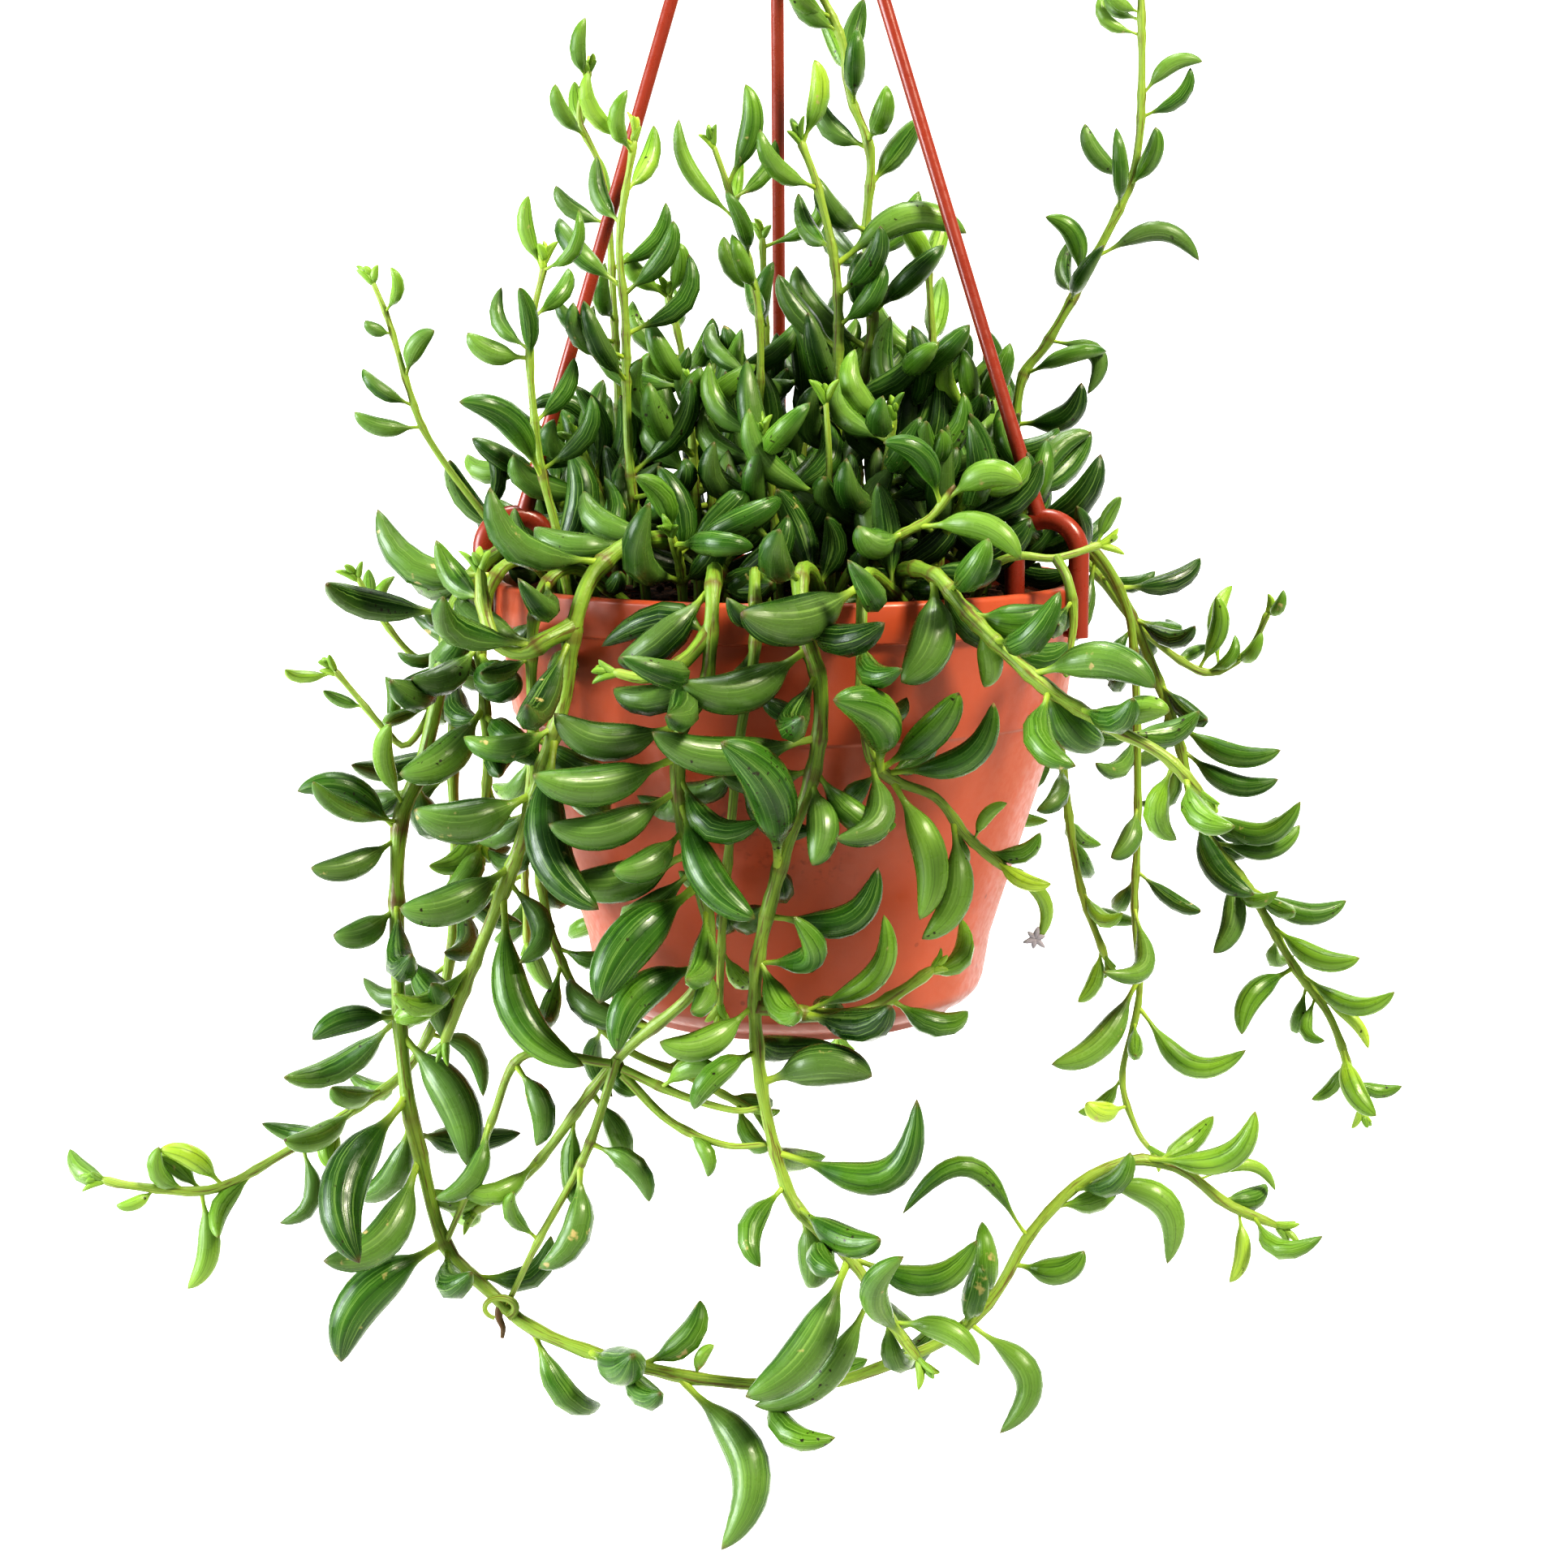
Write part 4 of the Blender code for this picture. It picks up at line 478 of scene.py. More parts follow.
class Garden:
    """Everything that is already placed, as balls along its centre lines."""

    def __init__(self) -> None:
        """Start with nothing placed."""
        self.balls = np.zeros((0, 4))
        self.owners = np.zeros(0, int)
        self.clearance = CLEARANCE

    def add(self, points: np.ndarray, radii: np.ndarray | float, owner: int) -> None:
        """Fill the space of a tube.

        Args:
            points: The tube's centre points.
            radii: Its radius at each point, or one for all.
            owner: The number of the stem it belongs to.
        """
        radii = np.broadcast_to(radii, len(points))
        self.balls = np.vstack([self.balls, np.column_stack([points, radii])])
        self.owners = np.concatenate([self.owners, np.full(len(points), owner)])

    def is_clear(self, points: np.ndarray, radii: np.ndarray, owner: int, base: np.ndarray) -> bool:
        """Tell whether balls touch nothing, apart from their own stem close to their base.

        Args:
            points: The balls' centres.
            radii: The balls' radii.
            owner: The number of their own stem.
            base: Where the leaf leaves that stem.

        Returns:
            Whether all of them are clear.
        """
        own = (self.owners == owner) & (np.linalg.norm(self.balls[:, :3] - base, axis=1) < BASE_ALLOWANCE)
        others = self.balls[~own]
        apart = np.linalg.norm(points[:, None] - others[None, :, :3], axis=2)
        return bool(np.all(apart > radii[:, None] + others[None, :, 3] + self.clearance))

    def try_leaf(self, owner: int, leaf: Leaf) -> Leaf | None:
        """Place the leaf if it is clear of everything.

        Args:
            owner: The number of its stem.
            leaf: The leaf to place.

        Returns:
            The leaf, or None where something is in its way.
        """
        at = np.linspace(LEAF_FOOT, 1, LEAF_SAMPLES)
        points = leaf_line(leaf.base, leaf.tip, leaf.bow, at)
        radii = leaf_radius(leaf.width, at)
        if not pot_is_clear(points, radii) or not self.is_clear(points, radii, owner, leaf.base):
            return None
        self.add(points, radii, owner)
        return leaf

    def listed_leaves(self, owner: int, stem: Stem, line: np.ndarray) -> list[Leaf]:
        """Place the listed leaves, each moved a little where something is in its way.

        Args:
            owner: The stem's number.
            stem: The stem.
            line: All points of its centre lines.

        Returns:
            The leaves that found room.
        """
        placed = []
        for near, tip, width, bow in stem.leaves:
            k = int(np.argmin(np.hypot(line[:, 0] - near[0], line[:, 2] - near[1])))
            base = line[k]
            for forward, scale in LISTED_TRIES:
                moved = base + (np.array(tip, float) + (0, forward, 0) - base) * scale
                way = moved - base
                bend = bow * np.array([-way[2], 0.0, way[0]])
                leaf = self.try_leaf(owner, Leaf(base, moved, width * scale**0.5, bend, True, k / len(line)))
                if leaf:
                    placed.append(leaf)
                    break
        return placed

    def spiral_leaves(self, owner: int, stem: Stem, line: np.ndarray, share: float = SPACING_SHARE,
                      size_share: float = 1.0, seed: int = 0, least: float = LEAST_LEAF) -> list[Leaf]:
        """Place leaves in a spiral up a stem, turned aside or made smaller where something is in their way.

        Args:
            owner: The stem's number.
            stem: The stem.
            line: One of its centre lines.
            share: The spacing as a share of the stem's own.
            size_share: The leaves' size as a share of the stem's own.
            seed: Added to the owner's number to seed the sizes.
            least: The shortest leaf worth placing.

        Returns:
            The leaves that found room.
        """
        placed = []
        rng = np.random.default_rng(owner + seed)
        along = np.concatenate([[0], np.cumsum(np.linalg.norm(np.diff(line, axis=0), axis=1))])
        length = along[-1]
        phase = rng.uniform(0, 2 * pi)
        for number, s in enumerate(np.arange(stem.bare, length - 0.5, share * stem.spacing)):
            k = int(np.searchsorted(along, s))
            k = min(max(k, 1), len(line) - 2)
            base = line[k]
            ahead = unit(line[k + 1] - line[k - 1])
            side = unit(np.cross(ahead, ASIDE))
            other = np.cross(ahead, side)
            age = s / length
            size = size_share * stem.leaf_length * (1 - SHRINK * age) * rng.uniform(*SIZE_CHANCE)
            lean = radians(LEAN_AT_ROOT - LEAN_LOST * age)
            for turn, scale in SPIRAL_TRIES:
                angle = phase + number * GOLDEN_ANGLE + turn
                outward = side * cos(angle) + other * sin(angle)
                way = unit(outward * sin(lean) + ahead * cos(lean) + LIFT)
                reach = size * scale
                if reach < least:
                    continue
                droop = unit(np.array([0.0, 0.0, -1.0]) + 0.6 * outward)
                droop = unit(droop - way * (droop @ way))
                width = size_share**0.5 * stem.leaf_width * (1 - NARROWING * age) * scale**0.5
                bend = droop * reach * rng.uniform(*BEND_CHANCE)
                leaf = self.try_leaf(owner, Leaf(base, base + way * reach, width, bend, False, age))
                if leaf:
                    placed.append(leaf)
                    break
        return placed


def arm_direction(azimuth: float) -> np.ndarray:
    """Return the unit vector outwards from the pot's axis at this azimuth in degrees."""
    return np.array([cos(radians(azimuth)), sin(radians(azimuth)), 0.0])


def arm_lines(azimuth: float, steps: int = 9) -> tuple[np.ndarray, np.ndarray]:
    """Lay the centre lines of one hanger arm.

    Args:
        azimuth: Where the arm stands round the pot, in degrees.
        steps: The points of the clip's round top.

    Returns:
        The rod's line from hub to clip, and the clip's line over the rim.
    """
    out = arm_direction(azimuth)
    up = np.array([0.0, 0.0, 1.0])
    top = np.array([*HUB_CENTRE, HUB_BOTTOM - ARM_RADIUS]) + out * ARM_TOP_SPREAD
    foot = out * ARM_FOOT_RADIUS + up * CLIP_TOP
    middle = (CLIP_OUTER_RADIUS + CLIP_INNER_RADIUS) / 2
    half = (CLIP_OUTER_RADIUS - CLIP_INNER_RADIUS) / 2
    clip = [out * CLIP_INNER_RADIUS + up * SOIL_TOP]
    for angle in np.linspace(pi, 0, steps):
        clip.append(out * (middle + half * cos(angle)) + up * (CLIP_TOP - half + half * sin(angle)))
    clip.append(out * CLIP_OUTER_RADIUS + up * (BARB_LEVEL - 0.6))
    return np.array([top, foot]), np.array(clip)


def linear(colour: str) -> tuple[float, float, float, float]:
    """Turn an sRGB hex colour such as "#2f5a24" into Blender's linear values, opaque."""
    values = [int(colour[k:k + 2], 16) / 255 for k in (1, 3, 5)]
    return (*[v / 12.92 if v <= 0.04045 else ((v + 0.055) / 1.055) ** 2.4 for v in values], 1.0)


def fit_node(tree: bpy.types.NodeTree, node: bpy.types.Node, settings: dict | None = None,
             links: dict | None = None) -> bpy.types.Node:
    """Give a shader node its settings and links.

    Args:
        tree: The material's node tree.
        node: The node.
        settings: Values by the name of a property, or by the name or number of an input. "stops" holds
            pairs of position and linear colour.
        links: Output sockets by the name or number of the input they go to.

    Returns:
        The same node.
    """
    for name, value in (settings or {}).items():
        if name == "stops":
            elements = node.color_ramp.elements
            while len(elements) < len(value):
                elements.new(0.5)
            for element, (position, colour) in zip(elements, value):
                element.position = position
                element.color = colour
        elif hasattr(node, str(name)):
            setattr(node, name, value)
        else:
            node.inputs[name].default_value = value
    for name, socket in (links or {}).items():
        tree.links.new(socket, node.inputs[name])
    return node


def add_node(tree: bpy.types.NodeTree, kind: str, settings: dict | None = None,
             links: dict | None = None) -> bpy.types.Node:
    """Add a shader node of this kind, named without "ShaderNode", with its settings and links."""
    return fit_node(tree, tree.nodes.new("ShaderNode" + kind), settings, links)


def new_material(name: str) -> tuple[bpy.types.Material, bpy.types.NodeTree, bpy.types.Node]:
    """Make a material.

    Args:
        name: Its name.

    Returns:
        The material, its node tree and its Principled BSDF.
    """
    material = bpy.data.materials.new(name)
    material.use_nodes = True
    return material, material.node_tree, material.node_tree.nodes["Principled BSDF"]


def coated(tree: bpy.types.NodeTree, body: str | bpy.types.NodeSocket, coats: list) -> bpy.types.NodeSocket:
    """Lay coats of colour over a surface, one on the other.

    Args:
        tree: The material's node tree.
        body: The colour under them, as hex or as a socket.
        coats: For each its hex colour, its greatest share, and the patterns that mask it, each as a socket,
            the value where the coat starts and the value where it is full.

    Returns:
        The colour that shows.
    """
    for colour, share, patterns in coats:
        mask = None
        for pattern, start, full in patterns:
            most = share if mask is None else 1.0
            part = add_node(tree, "MapRange", {**SMOOTH, "From Min": start, "From Max": full, "To Max": most},
                            {"Value": pattern}).outputs["Result"]
            if mask is None:
                mask = part
            else:
                mask = add_node(tree, "Math", {"operation": "MULTIPLY"}, {0: mask, 1: part}).outputs[0]
        settings, links = {"data_type": "RGBA", 7: linear(colour)}, {0: mask}
        if isinstance(body, str):
            settings[6] = linear(body)
        else:
            links[6] = body
        body = add_node(tree, "Mix", settings, links).outputs[2]
    return body


@dataclass(frozen=True)
class LeafSkin:
    """Living leaf of string of beans: a waxy, smooth cuticle over watery green flesh.

    The wax gives small sharp highlights, and the veins show through as fine lines along the leaf.
    """

    old: str = "#1b3711"
    grown: str = "#3d6421"
    fresh: str = "#779d34"
    lime: str = "#b0ca45"
    stalk: str = "#9db545"
    pale: str = "#86a35a"
    dry_tip: str = "#6a4630"
    speck: str = "#2c2a16"
    scar: str = "#a79a68"
    roughness: float = 0.3
    ior: float = 1.45

    def material(self) -> bpy.types.Material:
        """Build the leaf's material.

        Returns:
            The material, which reads the attributes "skin" (round and along) and "life" (tone from age, darker in the
            crown as painted shade, and chance).
        """
        material, tree, shader = new_material("Succulent_Leaf_Cuticle")
        skin, life = (add_node(tree, "Attribute", {"attribute_name": name}).outputs["Vector"]
                      for name in ("skin", "life"))
        face, life = (add_node(tree, "SeparateXYZ", links={0: vector}).outputs for vector in (skin, life))
        spot = add_node(tree, "TexCoord").outputs["Object"]
        # spots per metre: a cloudy tone over 12 mm, patches of specks, scars, wax, and single dots
        cloud, patch, torn, wax, dots = (
            add_node(tree, "TexNoise", {"Scale": scale, "Detail": detail}, {"Vector": spot}).outputs["Fac"]
            for scale, detail in ((80, 1), (160, 1), (330, 3), (400, 2), (1000, 0)))
        shift = add_node(tree, "MapRange", {**SMOOTH, "From Min": 0.3, "From Max": 0.7, "To Min": -0.1,
                                            "To Max": 0.1}, {"Value": cloud}).outputs["Result"]
        tone = add_node(tree, "Math", {"operation": "ADD"}, {0: life["X"], 1: shift}).outputs[0]
        body = add_node(tree, "ValToRGB", {"stops": [(0.0, linear(self.old)), (0.35, linear(self.grown)),
                                                     (0.7, linear(self.fresh)), (1.0, linear(self.lime))]},
                        {"Fac": tone}).outputs["Color"]
        # veins: lines a millimetre apart round a leaf 7 mm thick, running its whole length
        drawn = add_node(tree, "Mapping", {"Scale": (11.0, 11.0, 0.9)}, {"Vector": skin}).outputs["Vector"]
        veins = add_node(tree, "TexNoise", {"Scale": 1, "Detail": 3}, {"Vector": drawn}).outputs["Fac"]
        cell = add_node(tree, "TexVoronoi", {"Scale": 900.0}, {"Vector": spot}).outputs["Distance"]
        body = coated(tree, body, [
            (self.old, 0.65, [(veins, 0.5, 0.68)]),
            (self.pale, 0.5, [(veins, 0.46, 0.32)]),
            # the paler back of the leaf, and the clear line down its face
            (self.pale, 0.3, [(face["Y"], 0.1, 1.0)]),
            (self.old, 0.25, [(face["Y"], -0.955, -0.99)]),
            (self.stalk, 1.0, [(face["Z"], 0.27, 0.02)]),
            # specks of half a millimetre and scars of a few, on some leaves only
            (self.speck, 1.0, [(cell, 0.42, 0.22), (life["Y"], 0.6, 0.7), (patch, 0.52, 0.62), (dots, 0.56, 0.6)]),
            (self.scar, 1.0, [(life["Y"], 0.3, 0.22), (torn, 0.66, 0.74)]),
            (self.dry_tip, 0.5, [(face["Z"], 0.965, 0.998)]),
        ])
        gloss = add_node(tree, "MapRange", {**SMOOTH, "From Min": 0.35, "From Max": 0.7,
                                            "To Min": self.roughness - 0.08, "To Max": self.roughness + 0.12},
                         {"Value": wax}).outputs["Result"]
        bump = add_node(tree, "Bump", {"Strength": 0.35, "Distance": 0.0002}, {"Height": veins}).outputs["Normal"]
        fit_node(tree, shader, {
            "IOR": self.ior, "Subsurface Weight": 0.06, "Subsurface Radius": (0.6, 1.0, 0.2),
            "Subsurface Scale": 0.0016, "Specular IOR Level": 0.4,
        }, {"Base Color": body, "Roughness": gloss, "Normal": bump})
        return material


@dataclass(frozen=True)
class StemSkin:
    """Living stem: ridged green bark, yellow-green in the light, with brown scars at its nodes."""

    fresh: str = "#8ea646"
    grown: str = "#6d8c2e"
    deep: str = "#3c5c20"
    brown: str = "#5f3f26"
    roughness: float = 0.42
    ior: float = 1.45

    def material(self) -> bpy.types.Material:
        """Build the stem's material.

        Returns:
            The material, which reads the attributes "skin" (round and along) and "life" (age, node).
        """
        material, tree, shader = new_material("Succulent_Stem_Bark")
        skin, life = (add_node(tree, "Attribute", {"attribute_name": name}).outputs["Vector"]
                      for name in ("skin", "life"))
        life = add_node(tree, "SeparateXYZ", links={0: life}).outputs
        spot = add_node(tree, "TexCoord").outputs["Object"]
        body = add_node(tree, "ValToRGB", {"stops": [(0.0, linear(self.deep)), (0.35, linear(self.grown)),
                                                     (1.0, linear(self.fresh))]}, {"Fac": life["X"]}).outputs["Color"]
        # ridges half a millimetre apart round the stem, and streaks about 6 mm long
        ridges, streaks = (
            add_node(tree, "TexNoise", {"Scale": 1, "Detail": detail}, {
                "Vector": add_node(tree, "Mapping", {"Scale": stretch}, {"Vector": skin}).outputs["Vector"],
            }).outputs["Fac"] for detail, stretch in ((2, (4.5, 4.5, 0.5)), (3, (2.6, 2.6, 1.6))))
        body = coated(tree, body, [
            (self.deep, 0.6, [(ridges, 0.5, 0.75)]),
            (self.brown, 0.75, [(streaks, 0.54, 0.68)]),
            # the dry scar round each node
            (self.brown, 0.85, [(life["Z"], 0.4, 1.0)]),
        ])
        grain = add_node(tree, "TexNoise", {"Scale": 900, "Detail": 2}, {"Vector": spot}).outputs["Fac"]
        height = add_node(tree, "Math", {"operation": "ADD"}, {0: ridges, 1: grain}).outputs[0]
        bump = add_node(tree, "Bump", {"Strength": 0.5, "Distance": 0.0003}, {"Height": height}).outputs["Normal"]
        fit_node(tree, shader, {
            "Roughness": self.roughness, "IOR": self.ior, "Subsurface Weight": 0.08, "Subsurface Scale": 0.001,
        }, {"Base Color": body, "Normal": bump})
        return material


@dataclass(frozen=True)
class MouldedPlastic:
    """Injection-moulded polypropylene, coloured through: a satin skin with soft, wide highlights."""

    name: str
    colour: str
    shade: str
    # colour of the stains and specks, also painted on the heel and foot as shade
    stain_and_foot_shade: str
    roughness: float
    stains: float
    ior: float = 1.49

    def material(self) -> bpy.types.Material:
        """Build the plastic's material.

        Returns:
            The material, which reads the place on the object.
        """
        material, tree, shader = new_material(self.name)
        spot = add_node(tree, "TexCoord").outputs["Object"]
        # spots per metre: uneven pigment over 30 mm, stains of a few millimetres, dirt, gloss and grain
        cloud, wet, dirt, sheen, grain = (
            add_node(tree, "TexNoise", {"Scale": scale, "Detail": detail}, {"Vector": spot}).outputs["Fac"]
            for scale, detail in ((32, 3), (45, 2), (700, 4), (600, 3), (2200, 2)))
        # flow lines down the wall, 5 mm apart
        down = add_node(tree, "Mapping", {"Scale": (1.0, 1.0, 0.12)}, {"Vector": spot}).outputs["Vector"]
        flow = add_node(tree, "TexNoise", {"Scale": 200, "Detail": 2}, {"Vector": down}).outputs["Fac"]
        cell = add_node(tree, "TexVoronoi", {"Scale": 150.0}, {"Vector": spot}).outputs["Distance"]
        level = add_node(tree, "SeparateXYZ", links={0: spot}).outputs["Z"]
        # below this height the heel and foot are darkened with painted shade
        foot = (-HEEL_DEPTH - HOOK_HEIGHT) * MM
        stained, dirty = (
            add_node(tree, "MapRange", {**SMOOTH, "From Min": start, "From Max": full}, {"Value": pattern})
            .outputs["Result"] for pattern, start, full in ((wet, 0.58, 0.72), (dirt, 0.45, 0.75)))
        patch = add_node(tree, "Math", {"operation": "MULTIPLY"}, {0: stained, 1: dirty}).outputs[0]
        body = coated(tree, self.colour, [
            (self.shade, 0.5, [(cloud, 0.35, 0.68)]),
            (self.shade, 0.12, [(flow, 0.45, 0.75)]),
            (self.stain_and_foot_shade, self.stains, [(patch, 0.0, 1.0)]),
            # painted shade that darkens the heel and foot, and specks of soil under a millimetre
            (self.stain_and_foot_shade, 0.5, [(level, foot, foot - 0.003)]),
            (self.stain_and_foot_shade, self.stains, [(cell, 0.1, 0.05), (cloud, 0.48, 0.6)]),
        ])
        gloss = add_node(tree, "MapRange", {**SMOOTH, "From Min": 0.3, "From Max": 0.7,
                                            "To Min": self.roughness - 0.06, "To Max": self.roughness + 0.08},
                         {"Value": sheen}).outputs["Result"]
        bump = add_node(tree, "Bump", {"Strength": 0.12, "Distance": 0.0001}, {"Height": grain}).outputs["Normal"]
        fit_node(tree, shader, {
            "IOR": self.ior, "Subsurface Weight": 0.1, "Subsurface Radius": (1.0, 0.35, 0.2),
            "Subsurface Scale": 0.002,
        }, {"Base Color": body, "Roughness": gloss, "Normal": bump})
        return material


@dataclass(frozen=True)
class Peat:
    """Peat potting soil: dark crumbs and reddish bark fibre, quite matt."""

    name: str
    dark: str
    light: str
    grain: float
    roughness: float = 0.92

    def material(self) -> bpy.types.Material:
        """Build the soil's material.

        Returns:
            The material, which reads the place on the object.
        """
        material, tree, shader = new_material(self.name)
        spot = add_node(tree, "TexCoord").outputs["Object"]
        crumbs = add_node(tree, "TexNoise", {"Scale": self.grain, "Detail": 5}, {"Vector": spot}).outputs["Fac"]
        body = coated(tree, self.dark, [(self.light, 1.0, [(crumbs, 0.4, 0.68)])])
        bump = add_node(tree, "Bump", {"Strength": 0.9, "Distance": 0.0012}, {"Height": crumbs}).outputs["Normal"]
        fit_node(tree, shader, {"Roughness": self.roughness, "Specular IOR Level": 0.2},
                 {"Base Color": body, "Normal": bump})
        return material


def placed(points: np.ndarray) -> np.ndarray:
    """Turn millimetres from the rim's centre into metres under the hook."""
    return (np.asarray(points, float) - (0, 0, HOOK_HEIGHT)) * MM


def deselect() -> None:
    """Leave nothing selected."""
    if bpy.context.object and bpy.context.object.mode == "EDIT":
        bpy.ops.object.mode_set(mode="OBJECT")
    for chosen in list(bpy.context.selected_objects):
        chosen.select_set(False)


def activate(made: bpy.types.Object) -> None:
    """Make an object the one that operators work on.

    Args:
        made: The object.
    """
    deselect()
    made.select_set(True)
    bpy.context.view_layer.objects.active = made


def joined(name: str, pieces: list[bpy.types.Object]) -> bpy.types.Object:
    """Join the objects into the first one.

    Args:
        name: The joined piece's name.
        pieces: The objects, at least one.

    Returns:
        The joined piece.
    """
    activate(pieces[0])
    for piece in pieces[1:]:
        piece.select_set(True)
    if len(pieces) > 1:
        bpy.ops.object.join()
    pieces[0].name = name
    pieces[0].data.name = name
    return pieces[0]


def smooth(made: bpy.types.Object, angle: float = 40.0) -> None:
    """Shade the object smooth, but for edges sharper than the angle in degrees."""
    activate(made)
    bpy.ops.object.shade_smooth_by_angle(angle=radians(angle))


def turned(name: str, outline: list, sides: int, bevel: float = 0.0) -> bpy.types.Object:
    """Model a round body ring by ring, as its outline is drawn.

    Args:
        name: The body's name.
        outline: Pairs of radius and height in millimetres, from the first disc's edge to the last one's.
        sides: The points of each ring.
        bevel: How far its sharp rings are rounded, in millimetres.

    Returns:
        The closed body.
    """
    deselect()
    radius, height = outline[0]
    level = (height - HOOK_HEIGHT) * MM
    bpy.ops.mesh.primitive_circle_add(vertices=sides, radius=radius * MM, fill_type="NGON", location=(0, 0, level))
    made = bpy.context.object
    bpy.ops.object.transform_apply(location=True)
    bpy.ops.object.mode_set(mode="EDIT")
    bpy.ops.mesh.select_all(action="SELECT")
    for (r0, z0), (r1, z1) in zip(outline, outline[1:]):
        bpy.ops.mesh.extrude_region_move(TRANSFORM_OT_translate={"value": (0, 0, (z1 - z0) * MM)})
        level = (z1 - HOOK_HEIGHT) * MM
        bpy.ops.transform.resize(value=(r1 / r0, r1 / r0, 1), center_override=(0, 0, level))
    bpy.ops.mesh.select_all(action="SELECT")
    bpy.ops.mesh.normals_make_consistent(inside=False)
    bpy.ops.object.mode_set(mode="OBJECT")
    if bevel:
        rounding = made.modifiers.new("rounding", "BEVEL")
        rounding.width = bevel * MM
        rounding.segments = 2
        rounding.limit_method = "ANGLE"
        rounding.angle_limit = radians(20)
        bpy.ops.object.modifier_apply(modifier="rounding")
    made.name = name
    return made


def points_of(data: bpy.types.Mesh) -> np.ndarray:
    """Read a mesh's points.

    Args:
        data: The mesh.

    Returns:
        Its points, one row each.
    """
    co = np.empty(3 * len(data.vertices))
    data.vertices.foreach_get("co", co)
    return co.reshape(-1, 3)


def wrap(data: bpy.types.Mesh, line: np.ndarray, widths: np.ndarray, flatness: float,
         side: np.ndarray) -> None:
    """Bend a straight unit piece onto a line: its z runs along the line, its x and y across it.

    Args:
        data: The piece's mesh, from z 0 to 1.
        line: The line's points, in millimetres.
        widths: What the piece's x is multiplied by at each point.
        flatness: The share of the width that its thickness is.
        side: Which way the piece's x points at the line's start.
    """
    ahead = np.gradient(line, axis=0)
    ahead /= np.maximum(np.linalg.norm(ahead, axis=1, keepdims=True), 1e-9)
    sides = []
    for way in ahead:
        side = unit(side - way * (side @ way))
        sides.append(side)
    sides = np.array(sides)
    across = np.cross(ahead, sides)
    co = points_of(data)
    at = np.clip(co[:, 2], 0, 1) * (len(line) - 1)
    low = np.minimum(at.astype(int), len(line) - 2)
    share = (at - low)[:, None]
    centre, left, right, width = (v[low] * (1 - share) + v[low + 1] * share
                                  for v in (line, sides, across, np.asarray(widths)[:, None]))
    points = centre + (left * co[:, :1] + right * co[:, 1:2] * flatness) * width
    data.vertices.foreach_set("co", placed(points).ravel())
    data.update()


def write_vector(data: bpy.types.Mesh, name: str, values: np.ndarray) -> None:
    """Write a vector attribute.

    Args:
        data: The mesh.
        name: The attribute's name.
        values: One row for each vertex, or one for all.
    """
    layer = data.attributes.get(name) or data.attributes.new(name, "FLOAT_VECTOR", "POINT")
    layer.data.foreach_set("vector", np.broadcast_to(values, (len(data.vertices), 3)).astype(np.float32).ravel())


def write_skin(data: bpy.types.Mesh, length: float) -> None:
    """Write "skin" on a straight unit piece: the direction round it, and how far along it is.

    Args:
        data: The straight piece's mesh.
        length: What the whole way along counts as.
    """
    co = points_of(data)
    out = np.maximum(np.hypot(co[:, 0], co[:, 1]), 1e-6)
    write_vector(data, "skin", np.stack([co[:, 0] / out, co[:, 1] / out, co[:, 2] * length], axis=1))


@dataclass
class LeafMould:
    """The straight leaf that every leaf is copied from, 1 long and 2 wide: stalk, plump middle, pointed tip."""

    sides: int
    step: float
    parked: float = 10.0
    profile: tuple = ((0.0, 0.26), (0.1, 0.17), (0.2, 0.25), (0.28, 0.54), (0.37, 0.83), (0.5, 1.0), (0.64, 1.0),
                      (0.78, 0.87), (0.88, 0.66), (0.95, 0.38), (0.985, 0.14))

    def build(self) -> bpy.types.Object:
        """Model the leaf from a ball, ring by ring, each moved well above the rings still to be shaped.

        Returns:
            The leaf, which isn't shown itself.
        """
        deselect()
        rings = smooth_line([(height, radius, 0) for height, radius in self.profile], self.step)
        bpy.ops.mesh.primitive_uv_sphere_add(segments=self.sides, ring_count=len(rings) + 1, radius=1.0)
        made = bpy.context.object
        levels = sorted({round(v.co.z, 5) for v in made.data.vertices})
        targets = [(0.0, 0.0), *[(float(ring[0]), float(ring[1])) for ring in rings], (1.0, 0.0)]
        for old, (height, radius) in zip(levels, targets):
            for vertex in made.data.vertices:
                vertex.select = abs(vertex.co.z - old) < 1e-4
            ring = [v.index for v in made.data.vertices if v.select]
            across = max(made.data.vertices[k].co.xy.length for k in ring)
            for edge in made.data.edges:
                edge.select = all(k in ring for k in edge.vertices)
            for face in made.data.polygons:
                face.select = False
            bpy.ops.object.mode_set(mode="EDIT")
            if across > 1e-6:
                bpy.ops.transform.resize(value=(radius / across, radius / across, 1), center_override=(0, 0, old))
            bpy.ops.transform.translate(value=(0, 0, height + self.parked - old))
            bpy.ops.object.mode_set(mode="OBJECT")
        made.data.transform(made.matrix_world.Translation((0, 0, -self.parked)))
        write_skin(made.data, 1.0)
        made.name = "leaf_mould"
        return made


